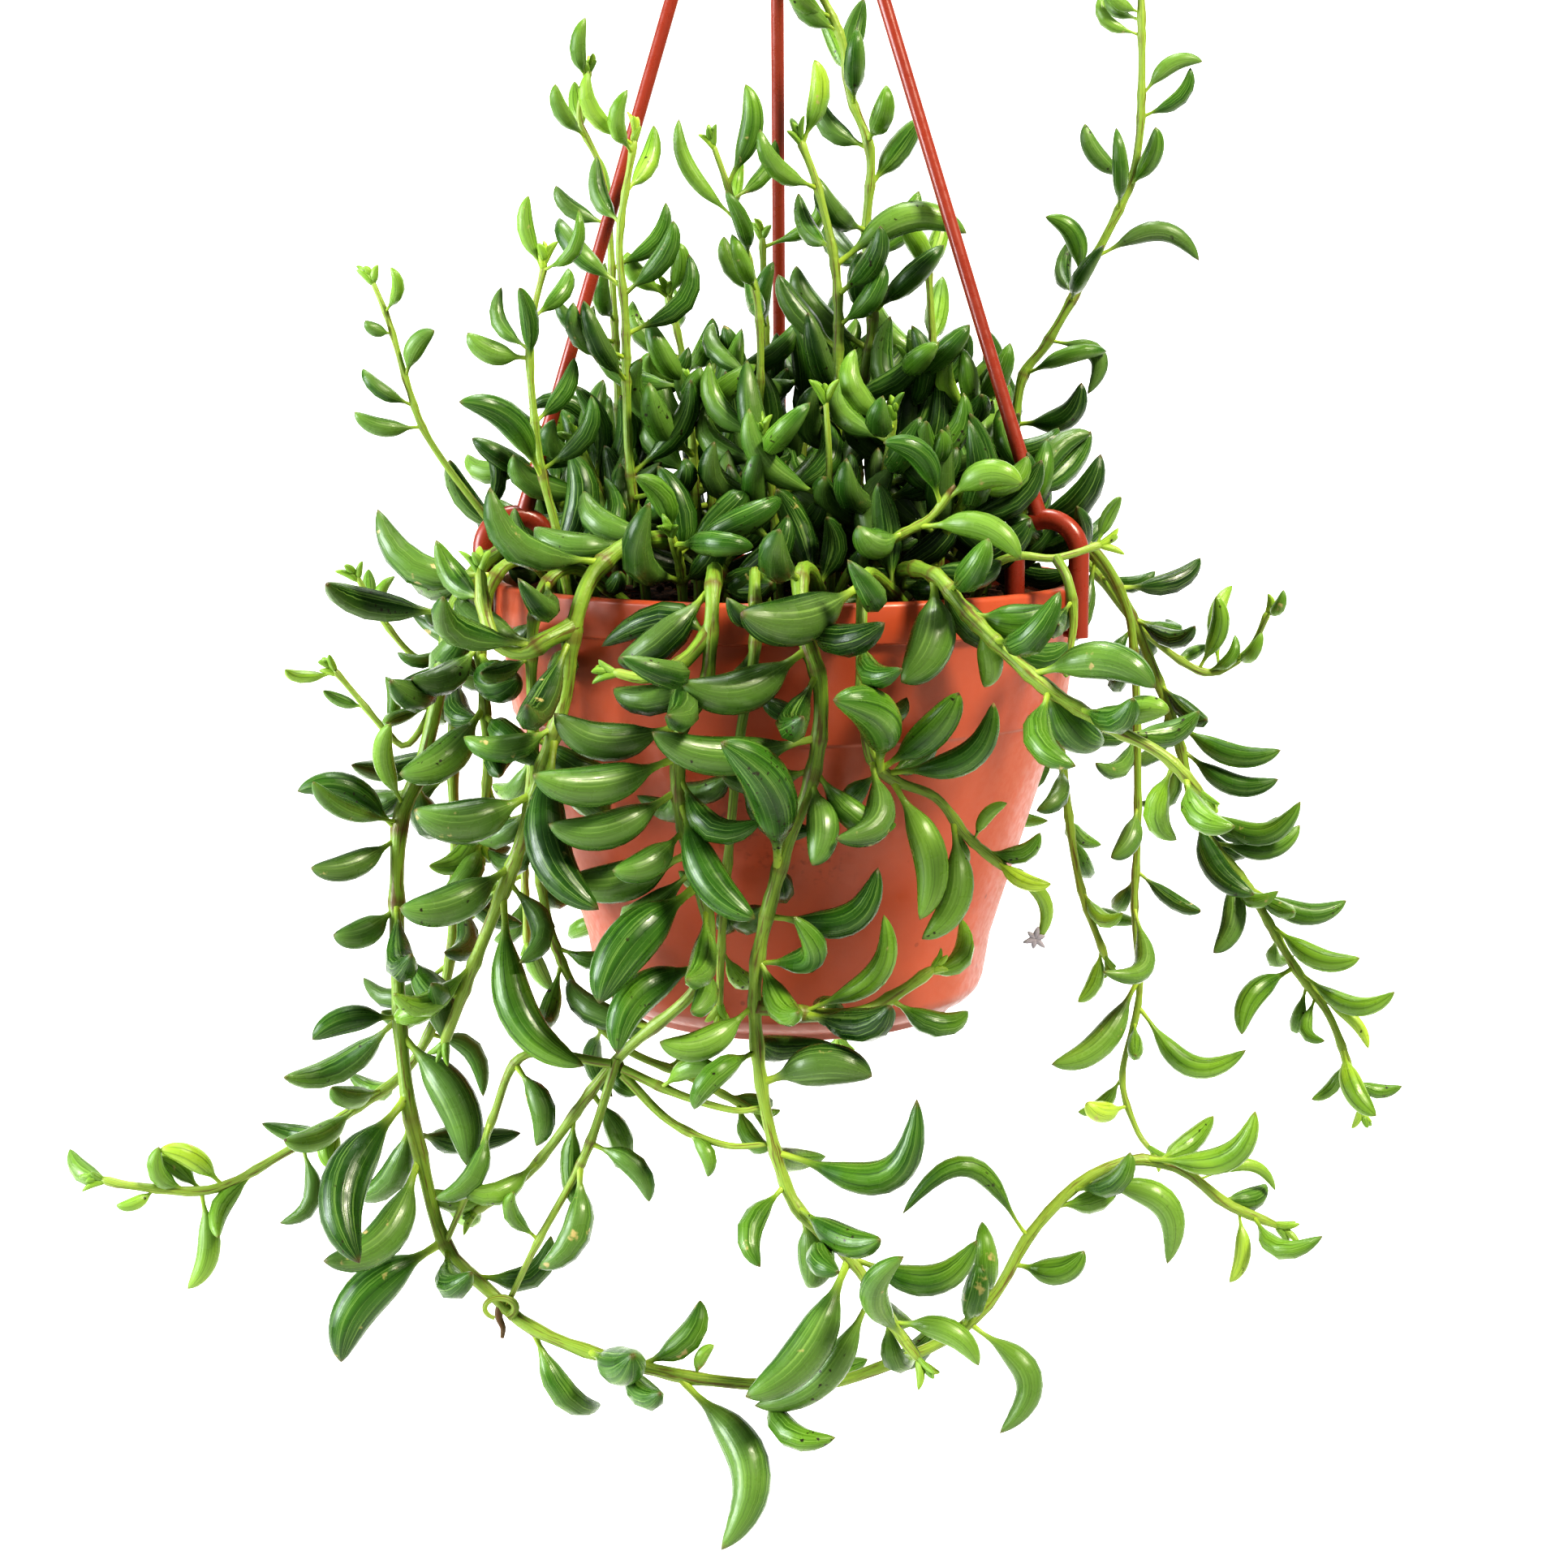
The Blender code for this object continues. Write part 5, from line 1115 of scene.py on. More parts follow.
@dataclass
class Cane:
    """A long round piece on a line: a stem, a rod or a wire."""

    name: str
    line: np.ndarray
    widths: np.ndarray
    sides: int = 10
    start: tuple = (0.3, 0.9, 0.2)

    def build(self) -> bpy.types.Object:
        """Model the straight piece, cut it into rings and bend it onto its line.

        Returns:
            The finished piece.
        """
        deselect()
        bpy.ops.mesh.primitive_cylinder_add(vertices=self.sides, radius=1.0, depth=1.0, location=(0, 0, 0.5))
        made = bpy.context.object
        bpy.ops.object.transform_apply(location=True)
        for edge in made.data.edges:
            ends = [made.data.vertices[k].co.z for k in edge.vertices]
            edge.select = abs(ends[0] - ends[1]) > 0.5
        for face in made.data.polygons:
            face.select = False
        bpy.ops.object.mode_set(mode="EDIT")
        bpy.ops.mesh.select_mode(type="EDGE")
        if len(self.line) > 2:
            bpy.ops.mesh.subdivide(number_cuts=len(self.line) - 2)
        bpy.ops.object.mode_set(mode="OBJECT")
        length = float(np.linalg.norm(np.diff(self.line, axis=0), axis=1).sum())
        write_skin(made.data, length / 10)
        wrap(made.data, self.line, self.widths, 1.0, np.array(self.start, float))
        made.name = self.name
        return made


@dataclass
class Pot:
    """The moulded pot: a lipped rim band, a collar, a tapered body and a stepped foot, in one thin wall."""

    sides: int = 96
    finish: MouldedPlastic = MouldedPlastic("Terracotta_Polypropylene", "#b25838", "#984428", "#5e2c1a", 0.38, 0.45)

    def outline(self) -> list[tuple[float, float]]:
        """Draw the wall's outline from the foot's edge, up the outside, over the rim and down the inside.

        Returns:
            Pairs of radius and height.
        """
        inner = RIM_RADIUS - LIP_WALL
        return [
            (FOOT_RADIUS - 1.2, -POT_HEIGHT), (FOOT_RADIUS, -POT_HEIGHT), (FOOT_RADIUS + 0.6, -POT_HEIGHT + 1.5),
            (FOOT_RADIUS + 1.7, -POT_HEIGHT + 1.9), (HEEL_RADIUS - 2.2, -HEEL_DEPTH - 3.7),
            (HEEL_RADIUS - 0.8, -HEEL_DEPTH - 2.2), (HEEL_RADIUS, -HEEL_DEPTH), (WAIST_RADIUS, -WAIST_DEPTH),
            (COLLAR_RADIUS - 0.5, -COLLAR_HEIGHT - 0.5), (COLLAR_RADIUS, -COLLAR_HEIGHT),
            (RIM_RADIUS - LIP_STEP, -LIP_HEIGHT - 0.3), (RIM_RADIUS, -LIP_HEIGHT), (RIM_RADIUS, -0.6),
            (RIM_RADIUS - 0.6, 0.0), (inner + 0.5, 0.0), (inner, -LIP_HEIGHT),
            (COLLAR_RADIUS - 0.5 - WALL, -COLLAR_HEIGHT), (WAIST_RADIUS - WALL, -WAIST_DEPTH),
            (HEEL_RADIUS - WALL, -HEEL_DEPTH), (FOOT_RADIUS + 1.0, -POT_HEIGHT + FLOOR),
        ]

    def build(self) -> bpy.types.Object:
        """Model the pot and dress it.

        Returns:
            The pot.
        """
        pot = turned("pot_body", self.outline(), self.sides, bevel=0.3)
        smooth(pot, 35)
        pot.data.materials.append(self.finish.material())
        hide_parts("pot")
        return pot


@dataclass
class Soil:
    """The potting soil: a crumbly peat surface with loose crumbs and bark fibres on it."""

    sides: int = 84
    rounds: int = 22
    crumbs: int = 260
    fibres: int = 90
    seed: int = 7
    peat: Peat = Peat("Peat_Soil", "#2a190f", "#62402a", 700.0)
    bark: Peat = Peat("Bark_Fibre", "#5a2e1c", "#a05c38", 900.0)

    def surface(self) -> bpy.types.Object:
        """Model the soil's body and its uneven top.

        Returns:
            The body, dressed.
        """
        edge = RIM_RADIUS - LIP_WALL - GAP
        outline = [(FOOT_RADIUS, -POT_HEIGHT + FLOOR + 1), (HEEL_RADIUS - WALL - 1, -HEEL_DEPTH + 1),
                   (COLLAR_RADIUS - 1.2 - WALL, -COLLAR_HEIGHT), (edge, -SOIL_DEPTH - 1), (edge, -SOIL_DEPTH)]
        soil = turned("soil_top", outline, self.sides)
        bpy.ops.object.mode_set(mode="EDIT")
        bpy.ops.mesh.select_all(action="DESELECT")
        bpy.ops.object.mode_set(mode="OBJECT")
        top = max(soil.data.polygons, key=lambda face: face.center.z)
        top.select = True
        bpy.ops.object.mode_set(mode="EDIT")
        bpy.ops.mesh.select_mode(type="FACE")
        for _ in range(self.rounds):
            bpy.ops.mesh.inset(thickness=edge / (self.rounds + 1) * MM)
        bpy.ops.mesh.poke()
        bpy.ops.object.mode_set(mode="OBJECT")
        level = (-SOIL_DEPTH - HOOK_HEIGHT) * MM
        for vertex in soil.data.vertices:
            if vertex.co.z > level - 0.0001 and vertex.co.xy.length < (edge - 0.5) * MM:
                coarse = noise.noise(vertex.co * 120)
                fine = noise.noise(vertex.co * 420)
                vertex.co.z += (0.9 * coarse + 1.1 * fine - 0.2) * MM
        soil.data.materials.append(self.peat.material())
        return soil

    def build(self) -> bpy.types.Object:
        """Model the soil with its crumbs and fibres, and dress it.

        Returns:
            The soil.
        """
        rng = np.random.default_rng(self.seed)
        pieces = [self.surface()]
        deselect()
        bpy.ops.mesh.primitive_ico_sphere_add(subdivisions=1, radius=1.0)
        crumb = bpy.context.object
        crumb.data.materials.append(pieces[0].data.materials[0])
        fibre = Cane("fibre", np.array([(0, 0, k / 4) for k in range(5)], float), np.ones(5), 4).build()
        bark = self.bark.material()
        for number in range(self.crumbs + self.fibres):
            out = (RIM_RADIUS - LIP_WALL - 2.5) * rng.uniform(0.05, 1) ** 0.5
            angle = rng.uniform(0, 2 * pi)
            spot = np.array([out * cos(angle), out * sin(angle), -SOIL_DEPTH + rng.uniform(0.1, 0.9)])
            if number < self.crumbs:
                made = bpy.data.objects.new("crumb", crumb.data.copy())
                bpy.context.scene.collection.objects.link(made)
                size = rng.uniform(0.4, 1.5) * np.array([1, rng.uniform(0.6, 1), rng.uniform(0.5, 0.9)])
                for vertex in made.data.vertices:
                    shift = spot + size * np.array(vertex.co) * rng.uniform(0.75, 1.2)
                    vertex.co = placed(shift)
            else:
                turn = rng.uniform(0, 2 * pi)
                way = np.array([cos(turn), sin(turn), rng.uniform(-0.05, 0.35)]) * rng.uniform(2.5, 7)
                bow = np.array([-way[1], way[0], 1.0]) * rng.uniform(-0.2, 0.2)
                line = leaf_line(spot, spot + way, bow, np.linspace(0, 1, 5))
                line[:, 2] = np.maximum(line[:, 2], -SOIL_DEPTH + 0.2)
                if np.hypot(line[:, 0], line[:, 1]).max() >= RIM_RADIUS - LIP_WALL - 1:
                    continue
                made = Cane("fibre", line, np.array([0.12, 0.22, 0.25, 0.2, 0.08]), 4).build()
                made.data.materials.append(bark)
            pieces.append(made)
        bpy.data.objects.remove(crumb)
        bpy.data.objects.remove(fibre)
        soil = joined("potting_soil", pieces)
        smooth(soil, 50)
        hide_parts("soil")
        return soil


@dataclass
class Hanger:
    """The hanger: a hub with an open hook, and arms whose clips straddle the rim."""

    wire: float = 1.7
    hook_inside: float = 7.5
    strap: float = 2.0
    finish: MouldedPlastic = MouldedPlastic("Hanger_Polypropylene", "#8a3a26", "#742c1c", "#3c140c", 0.3, 0.25)

    def hook(self, look: bpy.types.Material) -> bpy.types.Object:
        """Model the hub and its hook.

        Args:
            look: The hanger's material.

        Returns:
            The piece.
        """
        x, y = HUB_CENTRE
        hub = turned("hub", [(5.6, HUB_BOTTOM), (7.0, HUB_BOTTOM + 0.8), (7.0, HUB_BOTTOM + 2.2),
                             (4.6, HUB_BOTTOM + 6.4), (3.4, HUB_BOTTOM + 8)], 40, bevel=0.4)
        activate(hub)
        bpy.ops.transform.translate(value=(x * MM, y * MM, 0))
        bpy.ops.object.transform_apply(location=True)
        bend = self.hook_inside + self.wire
        middle = HOOK_HEIGHT - self.hook_inside
        route = [(x, y, HUB_BOTTOM + 5), (x, y, HUB_BOTTOM + 10)]
        route += [(bend * cos(a), 0.0, middle + bend * sin(a)) for a in np.linspace(radians(-90), radians(195), 40)]
        route = np.array(route)
        widths = np.full(len(route), self.wire)
        widths[-3:] *= (0.95, 0.8, 0.5)
        wire = Cane("hook_wire", route, widths, 14, (0, 1, 0)).build()
        hook = joined("hanger_top_hook", [hub, wire])
        smooth(hook, 40)
        hook.data.materials.append(look)
        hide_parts("hanger_hook")
        return hook

    def arm(self, side: str, azimuth: float, look: bpy.types.Material) -> bpy.types.Object:
        """Model one arm: rod, clip over the rim, and the barb that holds under the lip.

        Args:
            side: Where the arm stands.
            azimuth: The same in degrees.
            look: The hanger's material.

        Returns:
            The piece.
        """
        rod_line, clip_line = arm_lines(azimuth, 21)
        out = arm_direction(azimuth)
        across = np.array([-out[1], out[0], 0.0])
        rod_line = np.array([rod_line[0] + (rod_line[1] - rod_line[0]) * t for t in np.linspace(0, 1, 13)])
        widths = np.full(13, ARM_RADIUS)
        widths[:2] *= (0.75, 0.95)
        widths[-2:] *= (1.1, 1.3)
        rod = Cane("rod", rod_line, widths, 14, tuple(out)).build()
        clip = Cane("clip", clip_line, np.full(len(clip_line), self.strap), 14, tuple(across)).build()
        level = np.array([0, 0, BARB_LEVEL])
        barb_line = np.array([out * (CLIP_OUTER_RADIUS + 0.4) + level,
                              out * (RIM_RADIUS - LIP_STEP + GAP + 0.4) + level])
        barb = Cane("barb", barb_line, np.array([BARB_RADIUS, 0.7 * BARB_RADIUS]), 12, tuple(across)).build()
        arm = joined(f"hanger_rod_{side}", [rod, clip, barb])
        smooth(arm, 45)
        arm.data.materials.append(look)
        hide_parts(f"hanger_arm_{side}")
        return arm

    def build(self) -> list[bpy.types.Object]:
        """Model the hook and every arm."""
        look = self.finish.material()
        return [self.hook(look)] + [self.arm(side, azimuth, look) for side, azimuth in ARM_AZIMUTHS.items()]


CUT_STEM = "shoot_cut"
# Thin side branches of trail_front_centre_left, given one by one: each is a route, then its leaves as
# (base, tip, width).
SIDE_BRANCHES = [
    ([(-33, -57.5, -86), (-49.4, -55, -85), (-55.5, -54, -97), (-59.5, -52, -109), (-65.5, -48.5, -123.5)],
     [((-56, -54, -98), (-66, -60, -111), 5.0), ((-51, -55, -87), (-47, -60, -101), 5.4)]),
    ([(-32, -57.5, -85), (-38, -58, -103), (-47, -57, -120), (-53.5, -53, -134)],
     [((-39, -58, -105), (-46.5, -64, -123), 6.6), ((-37, -58, -101), (-26, -62, -111), 5.0),
      ((-47, -57, -120), (-51, -62, -109), 3.6)]),
    ([(-31, -57.5, -88), (-22, -61, -96), (-12, -64, -99.5), (-4, -65.5, -99)],
     [((-19, -62, -97.5), (-15, -66, -105), 3.4)]),
    ([(-31, -57.5, -87), (-20, -61, -91), (-10, -64, -93), (-4.8, -65, -92)],
     [((-24, -60, -90), (-12, -66, -86), 4.6)]),
]


@dataclass(frozen=True)
class Habit:
    """How leaves of one kind of stem settle: their share of length and width, and how far they swing."""

    stretch: float
    wider: float
    sway: float


HABITS = {Growth.TRAIL: Habit(1.1, 1.08, 0.1), Growth.SHOOT: Habit(1.38, 1.15, 0.14),
          Growth.CROWN: Habit(1.26, 1.12, 0.42)}


@dataclass
class Plant:
    """All the stems and leaves, each stem one piece with what grew on it."""

    fill_share: float = 0.6
    fill_size: float = 0.95
    trail_fill_share: float = 2.2
    fill_clearance: float = -1.2
    thin_out: float = 0.22
    hook: float = 1.35
    listed_bow: float = 1.35
    young_width: float = 5.4
    young_glow: float = 0.3
    # how much darker the crown's leaves start, as painted shade
    painted_crown_shade: float = 0.12
    fill_least: float = 6.0
    base_tone: float = 0.08
    age_tone: float = 0.5
    age_curve: float = 1.7
    listed_half: float = 0.58
    spiral_half: float = 0.53
    arch_narrows: float = 0.75
    arch_thickens: float = 0.6
    stem_share: float = 0.9
    stem_taper: float = 0.36
    node_reach: float = 1.5
    node_swelling: float = 0.3
    stem_end: float = 0.6
    stem_tone: tuple = (0.42, 0.58)
    node_fade: float = 0.7
    cut_brown: tuple = (0.9, 0.06)
    droop_chance: tuple = (0.4, 1.0)
    bow_aside: float = 0.6
    bow_chance: tuple = (0.16, 0.38)
    bud_count: int = 4
    bud_reach: tuple = (4.5, 8.0)
    bud_width: tuple = (1.3, 2.0)
    bud_spread: tuple = (0.25, 0.75)
    bud_age: float = 1.15
    branch_radius: float = 1.05
    branch_youth: float = 0.15
    branch_leaf_age: float = 0.55
    petals: int = 6
    petal_colour: str = "#9d979c"
    bloom_sunk: float = 0.9
    first_seed: int = 1000
    rootlet_spot: tuple = (-60.0, -141.0)
    bloom_spot: tuple = (53.0, -72.0)
    seed: int = 500
    leaf_skin: LeafSkin = LeafSkin()
    stem_skin: StemSkin = StemSkin()

    def stems(self) -> dict[str, tuple[Growth, Stem]]:
        """List every stem with how it grows.

        Returns:
            The kind of growth and the stem, by the name of its CAD node.
        """
        found = {name: (Growth.TRAIL, stem) for name, stem in TRAILS.items()}
        found |= {name: (Growth.SHOOT, stem) for name, stem in SHOOTS.items()}
        for number, (x, y, lean_x, lean_y, height) in enumerate(CROWN, 1):
            route = [(x, y, SOIL_TOP), (x + 0.25 * lean_x, y + 0.25 * lean_y, 0.45 * height),
                     (x + lean_x, y + lean_y, height)]
            found[f"crown_{number:02d}"] = (Growth.CROWN, Stem(
                route=route, radius=1.2, leaf_length=CROWN_LEAF[0], leaf_width=CROWN_LEAF[1], spacing=5.0, bare=6.0))
        return found

    def grow(self, stems: dict[str, tuple[Growth, Stem]]) -> tuple[dict, dict]:
        """Place every stem and leaf: first as the CAD solids have them, then smaller leaves between.

        Args:
            stems: The stems by name.

        Returns:
            The centre lines and the leaves of each stem, by its name.
        """
        garden = Garden()
        for azimuth in ARM_AZIMUTHS.values():
            for line in arm_lines(azimuth):
                garden.add(smooth_line(line, CURVE_STEP), ARM_RADIUS + 0.3, -1)
        lines, leaves = {}, {}
        for owner, (name, (_, stem)) in enumerate(stems.items()):
            lines[name] = [stem_line(stem.route, CURVE_STEP)]
            lines[name] += [smooth_line(route, CURVE_STEP) for route in stem.branches]
            for line in lines[name]:
                garden.add(line, stem.radius, owner)
        for owner, (name, (_, stem)) in enumerate(stems.items()):
            leaves[name] = garden.listed_leaves(owner, stem, np.vstack(lines[name]))
        for owner, (name, (_, stem)) in enumerate(stems.items()):
            for line in lines[name]:
                leaves[name] += garden.spiral_leaves(owner, stem, line)
        garden.clearance = self.fill_clearance
        for owner, (name, (growth, stem)) in enumerate(stems.items()):
            share = self.fill_share if growth is Growth.CROWN else self.trail_fill_share
            for line in lines[name]:
                leaves[name] += garden.spiral_leaves(owner, stem, line, share, self.fill_size, self.seed,
                                                     self.fill_least)
        return lines, leaves

    def youth_and_shade_of(self, leaf: Leaf, growth: Growth, stem: Stem) -> float:
        """Say what tone a leaf starts from: darker in the crown as painted shade, and lighter where a trail's leaf is
        narrow and new.

        Args:
            leaf: The leaf.
            growth: What kind of stem it is on.
            stem: That stem.

        Returns:
            What its tone starts from.
        """
        # painted shade: the crown's leaves start darker
        if growth is Growth.CROWN:
            return stem.youth - self.painted_crown_shade
        if growth is Growth.TRAIL and leaf.listed:
            return stem.youth + self.young_glow * float(np.clip((self.young_width - leaf.width) / 1.5, 0, 1))
        return stem.youth

    def settle(self, leaf: Leaf, growth: Growth, rng: np.random.Generator) -> Leaf:
        """Give a leaf its own bend and length, as no two on a plant are alike.

        Args:
            leaf: The leaf as it was placed.
            growth: What kind of stem it is on.
            rng: The source of chance.

        Returns:
            The bent leaf, or the leaf as it was where the pot is in its way.
        """
        way = leaf.tip - leaf.base
        reach = float(np.linalg.norm(way))
        habit = HABITS[growth]
        way = unit(way + rng.normal(0, habit.sway, 3) * reach) * reach * habit.stretch
        across = unit(np.cross(way, rng.normal(0, 1, 3)))
        droop = unit(leaf.bow) * rng.uniform(*self.droop_chance)
        bow = unit(droop + across * self.bow_aside) * reach * rng.uniform(*self.bow_chance)
        bent = Leaf(leaf.base, leaf.base + way, leaf.width * habit.wider, bow, False, leaf.age)
        at = np.linspace(LEAF_FOOT, 1, LEAF_SAMPLES)
        clear = pot_is_clear(leaf_line(bent.base, bent.tip, bent.bow, at), leaf_radius(bent.width, at))
        return bent if clear else leaf

    def buds(self, line: np.ndarray, rng: np.random.Generator) -> list[Leaf]:
        """Grow the tuft of small new leaves at a stem's end.

        Args:
            line: The stem's centre line.
            rng: The source of chance.

        Returns:
            The new leaves.
        """
        ahead = unit(line[-1] - line[-3])
        side = unit(np.cross(ahead, ASIDE))
        other = np.cross(ahead, side)
        found = []
        for number in range(self.bud_count):
            angle = number * GOLDEN_ANGLE + rng.uniform(0, 1)
            outward = side * cos(angle) + other * sin(angle)
            reach = rng.uniform(*self.bud_reach) * (1 - 0.12 * number)
            way = unit(ahead + outward * rng.uniform(*self.bud_spread)) * reach
            base = line[-1] - ahead * (0.5 + 0.8 * (self.bud_count - 1 - number))
            width = rng.uniform(*self.bud_width)
            found.append(Leaf(base, base + way, width, -outward * 0.15 * reach, False, self.bud_age))
        return found

    def stem_piece(self, stem: Stem, line: np.ndarray, leaves: list[Leaf],
                   bark: bpy.types.Material) -> bpy.types.Object:
        """Model one stem line, swollen a little at each leaf.

        Args:
            stem: The stem.
            line: Its centre line.
            leaves: The leaves on it.
            bark: The stem's material.

        Returns:
            The stem's piece, dressed.
        """
        share = np.linspace(0, 1, len(line))
        widths = stem.radius * (self.stem_share - self.stem_taper * share)
        widths[-1] *= self.stem_end
        node = np.zeros(len(line))
        for leaf in leaves:
            near = np.linalg.norm(line - leaf.base, axis=1)
            node = np.maximum(node, np.exp(-(near / self.node_reach) ** 2))
        made = Cane("stem", line, widths * (1 + self.node_swelling * node), 8).build()
        skin = np.empty(3 * len(made.data.vertices), np.float32)
        made.data.attributes["skin"].data.foreach_get("vector", skin)
        along = skin.reshape(-1, 3)[:, 2]
        along = along / max(along.max(), 1e-6)
        tone = np.clip(self.stem_tone[0] + stem.youth + self.stem_tone[1] * along, 0, 1)
        closeness = np.interp(along, share, node) * (1 - self.node_fade * along)
        if stem is SHOOTS[CUT_STEM]:
            closeness = np.maximum(closeness, np.clip((along - self.cut_brown[0]) / self.cut_brown[1], 0, 1))
        write_vector(made.data, "life", np.stack([tone, np.zeros_like(tone), closeness], axis=1))
        made.data.materials.append(bark)
        return made

    def side_branches(self, bark: bpy.types.Material, mould: bpy.types.Object,
                      rng: np.random.Generator) -> list[bpy.types.Object]:
        """Model the thin branches that tie the front trails to the bottom loop.

        Args:
            bark: The stem's material.
            mould: The straight leaf.
            rng: The source of chance.

        Returns:
            Their pieces, dressed.
        """
        made = []
        for route, listed in SIDE_BRANCHES:
            found = []
            for base, tip, width in listed:
                way = np.subtract(tip, base)
                across = unit(np.cross(way, (0.2, 1.0, 0.1)))
                found.append(Leaf(np.array(base, float), np.array(tip, float), width,
                                  across * 0.2 * np.linalg.norm(way), False, self.branch_leaf_age))
            thin = Stem(route=route, radius=self.branch_radius, youth=self.branch_youth)
            made.append(self.stem_piece(thin, smooth_line(route, CURVE_STEP), found, bark))
            made += [self.leaf_piece(leaf, thin.youth, mould, rng) for leaf in found]
        return made

    def rootlet(self, line: np.ndarray, bark: bpy.types.Material) -> list[bpy.types.Object]:
        """Model the dry rootlet and the curled young leaf at one node of a stem.

        Args:
            line: The stem's centre line.
            bark: The stem's material.

        Returns:
            Both pieces, dressed.
        """
        at = line[int(np.argmin(np.hypot(line[:, 0] - self.rootlet_spot[0], line[:, 2] - self.rootlet_spot[1])))]
        root = smooth_line([at, at + (-0.5, -0.3, -2.4), at + (0.3, -0.5, -4.6), at + (0.1, -0.4, -6.6)], 0.7)
        turn = np.linspace(radians(-60), radians(250), 22)
        curl = np.stack([2.9 * np.cos(turn), -2.2 - 0.03 * np.arange(22), 2.0 * np.sin(turn)], axis=1) + at
        made = []
        for points, widths, life in ((root, np.linspace(1.0, 0.4, len(root)), (0.1, 0.0, 1.0)),
                                     (curl, np.linspace(0.95, 0.4, 22), (0.9, 0.0, 0.1))):
            piece = Cane("rootlet", points, widths, 7).build()
            write_vector(piece.data, "life", np.array(life))
            piece.data.materials.append(bark)
            made.append(piece)
        return made

    def bloom(self, leaves: list[Leaf]) -> list[bpy.types.Object]:
        """Model the small dried bloom stuck to the tip of the leaf nearest to its spot.

        Args:
            leaves: The leaves of its stem.

        Returns:
            The petals, dressed.
        """
        tips = np.array([leaf.tip for leaf in leaves])
        held = leaves[int(np.argmin(np.hypot(tips[:, 0] - self.bloom_spot[0], tips[:, 2] - self.bloom_spot[1])))]
        at = held.tip - unit(held.tip - held.base) * self.bloom_sunk
        look, tree, shader = new_material("Dried_Petal")
        fit_node(tree, shader, {"Base Color": linear(self.petal_colour), "Roughness": 0.85})
        made = []
        for number in range(self.petals):
            turn = 2 * pi * number / self.petals + 0.3
            way = np.array([cos(turn), -0.35, sin(turn)]) * (1.9 + 0.5 * (number % 2))
            line = leaf_line(at - way * 0.1, at + way, np.array([0, -0.3, 0]), np.linspace(0, 1, 5))
            petal = Cane("petal", line, np.array([0.5, 0.62, 0.6, 0.45, 0.15]), 6).build()
            petal.data.materials.append(look)
            made.append(petal)
        return made

    def leaf_piece(self, leaf: Leaf, youth: float, mould: bpy.types.Object,
                   rng: np.random.Generator) -> bpy.types.Object:
        """Copy the mould and bend it into one leaf.

        Args:
            leaf: The leaf's place and size.
            youth: How fresh its stem is, lowered for the crown's leaves as painted shade.
            mould: The straight leaf.
            rng: The source of chance.

        Returns:
            The leaf's piece, dressed as its mould is.
        """
        made = bpy.data.objects.new("leaf", mould.data.copy())
        bpy.context.scene.collection.objects.link(made)
        at = np.linspace(0, 1, LEAF_POINTS)
        hook = at[:, None] ** self.hook
        bow = leaf.bow * (self.listed_bow if leaf.listed else 1.0)
        line = leaf_line(leaf.base, leaf.tip, np.zeros(3), at) + bow * 4 * hook * (1 - hook)
        side = unit(leaf.bow) if np.linalg.norm(leaf.bow) > 1e-6 else np.array([1.0, 0, 0])
        arch = np.linalg.norm(bow) / max(np.linalg.norm(leaf.tip - leaf.base), 1e-6)
        half = leaf.width * (self.listed_half if leaf.listed else self.spiral_half) * (1.0 - self.arch_narrows * arch)
        flatness = rng.uniform(0.8, 0.95) * (1 + self.arch_thickens * arch)
        wrap(made.data, line, np.full(LEAF_POINTS, half), flatness, side)
        aged = self.age_tone * max(leaf.age, 0.0) ** self.age_curve
        tone = np.clip(self.base_tone + youth + aged + rng.uniform(-0.1, 0.2), 0.0, 1.0)
        write_vector(made.data, "life", np.array([tone, rng.uniform(0, 1), 0.0]))
        return made

    def build(self) -> list[bpy.types.Object]:
        """Model every stem with its leaves, and dress them.

        Returns:
            The plant's pieces, one for each stem.
        """
        stems = self.stems()
        lines, leaves = self.grow(stems)
        bark = self.stem_skin.material()
        cuticle = self.leaf_skin.material()
        fine = LeafMould(14, 0.085).build()
        plain = LeafMould(7, 0.2).build()
        for mould in (fine, plain):
            mould.data.materials.append(cuticle)
        made = []
        for number, (name, (growth, stem)) in enumerate(stems.items()):
            rng = np.random.default_rng(self.first_seed + number)
            kept = [leaf for leaf in leaves[name] if leaf.listed]
            for leaf in leaves[name]:
                thinned = growth is Growth.SHOOT and rng.uniform(0, 1) < self.thin_out
                if not leaf.listed and not thinned:
                    kept.append(self.settle(leaf, growth, rng))
            leaves[name] = kept
            parts = [self.stem_piece(stem, line, leaves[name], bark) for line in lines[name]]
            if name == "trail_front_centre_left":
                parts += self.side_branches(bark, plain, rng)
            elif name == "trail_bottom_loop":
                parts += self.rootlet(lines[name][0], bark)
            elif name == "trail_pot_face":
                parts += self.bloom(leaves[name])
            for line in lines[name] if name != CUT_STEM else []:
                leaves[name] += self.buds(line, rng)
            parts += [self.leaf_piece(leaf, self.youth_and_shade_of(leaf, growth, stem), fine if leaf.listed else plain, rng)
                      for leaf in leaves[name]]
            piece = joined(f"plant_{name}", parts)
            smooth(piece, 85)
            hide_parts(name)
            made.append(piece)
        for mould in (fine, plain):
            bpy.data.objects.remove(mould)
        log.info("%d stems, %d leaves", len(stems), sum(len(found) for found in leaves.values()))
        return made


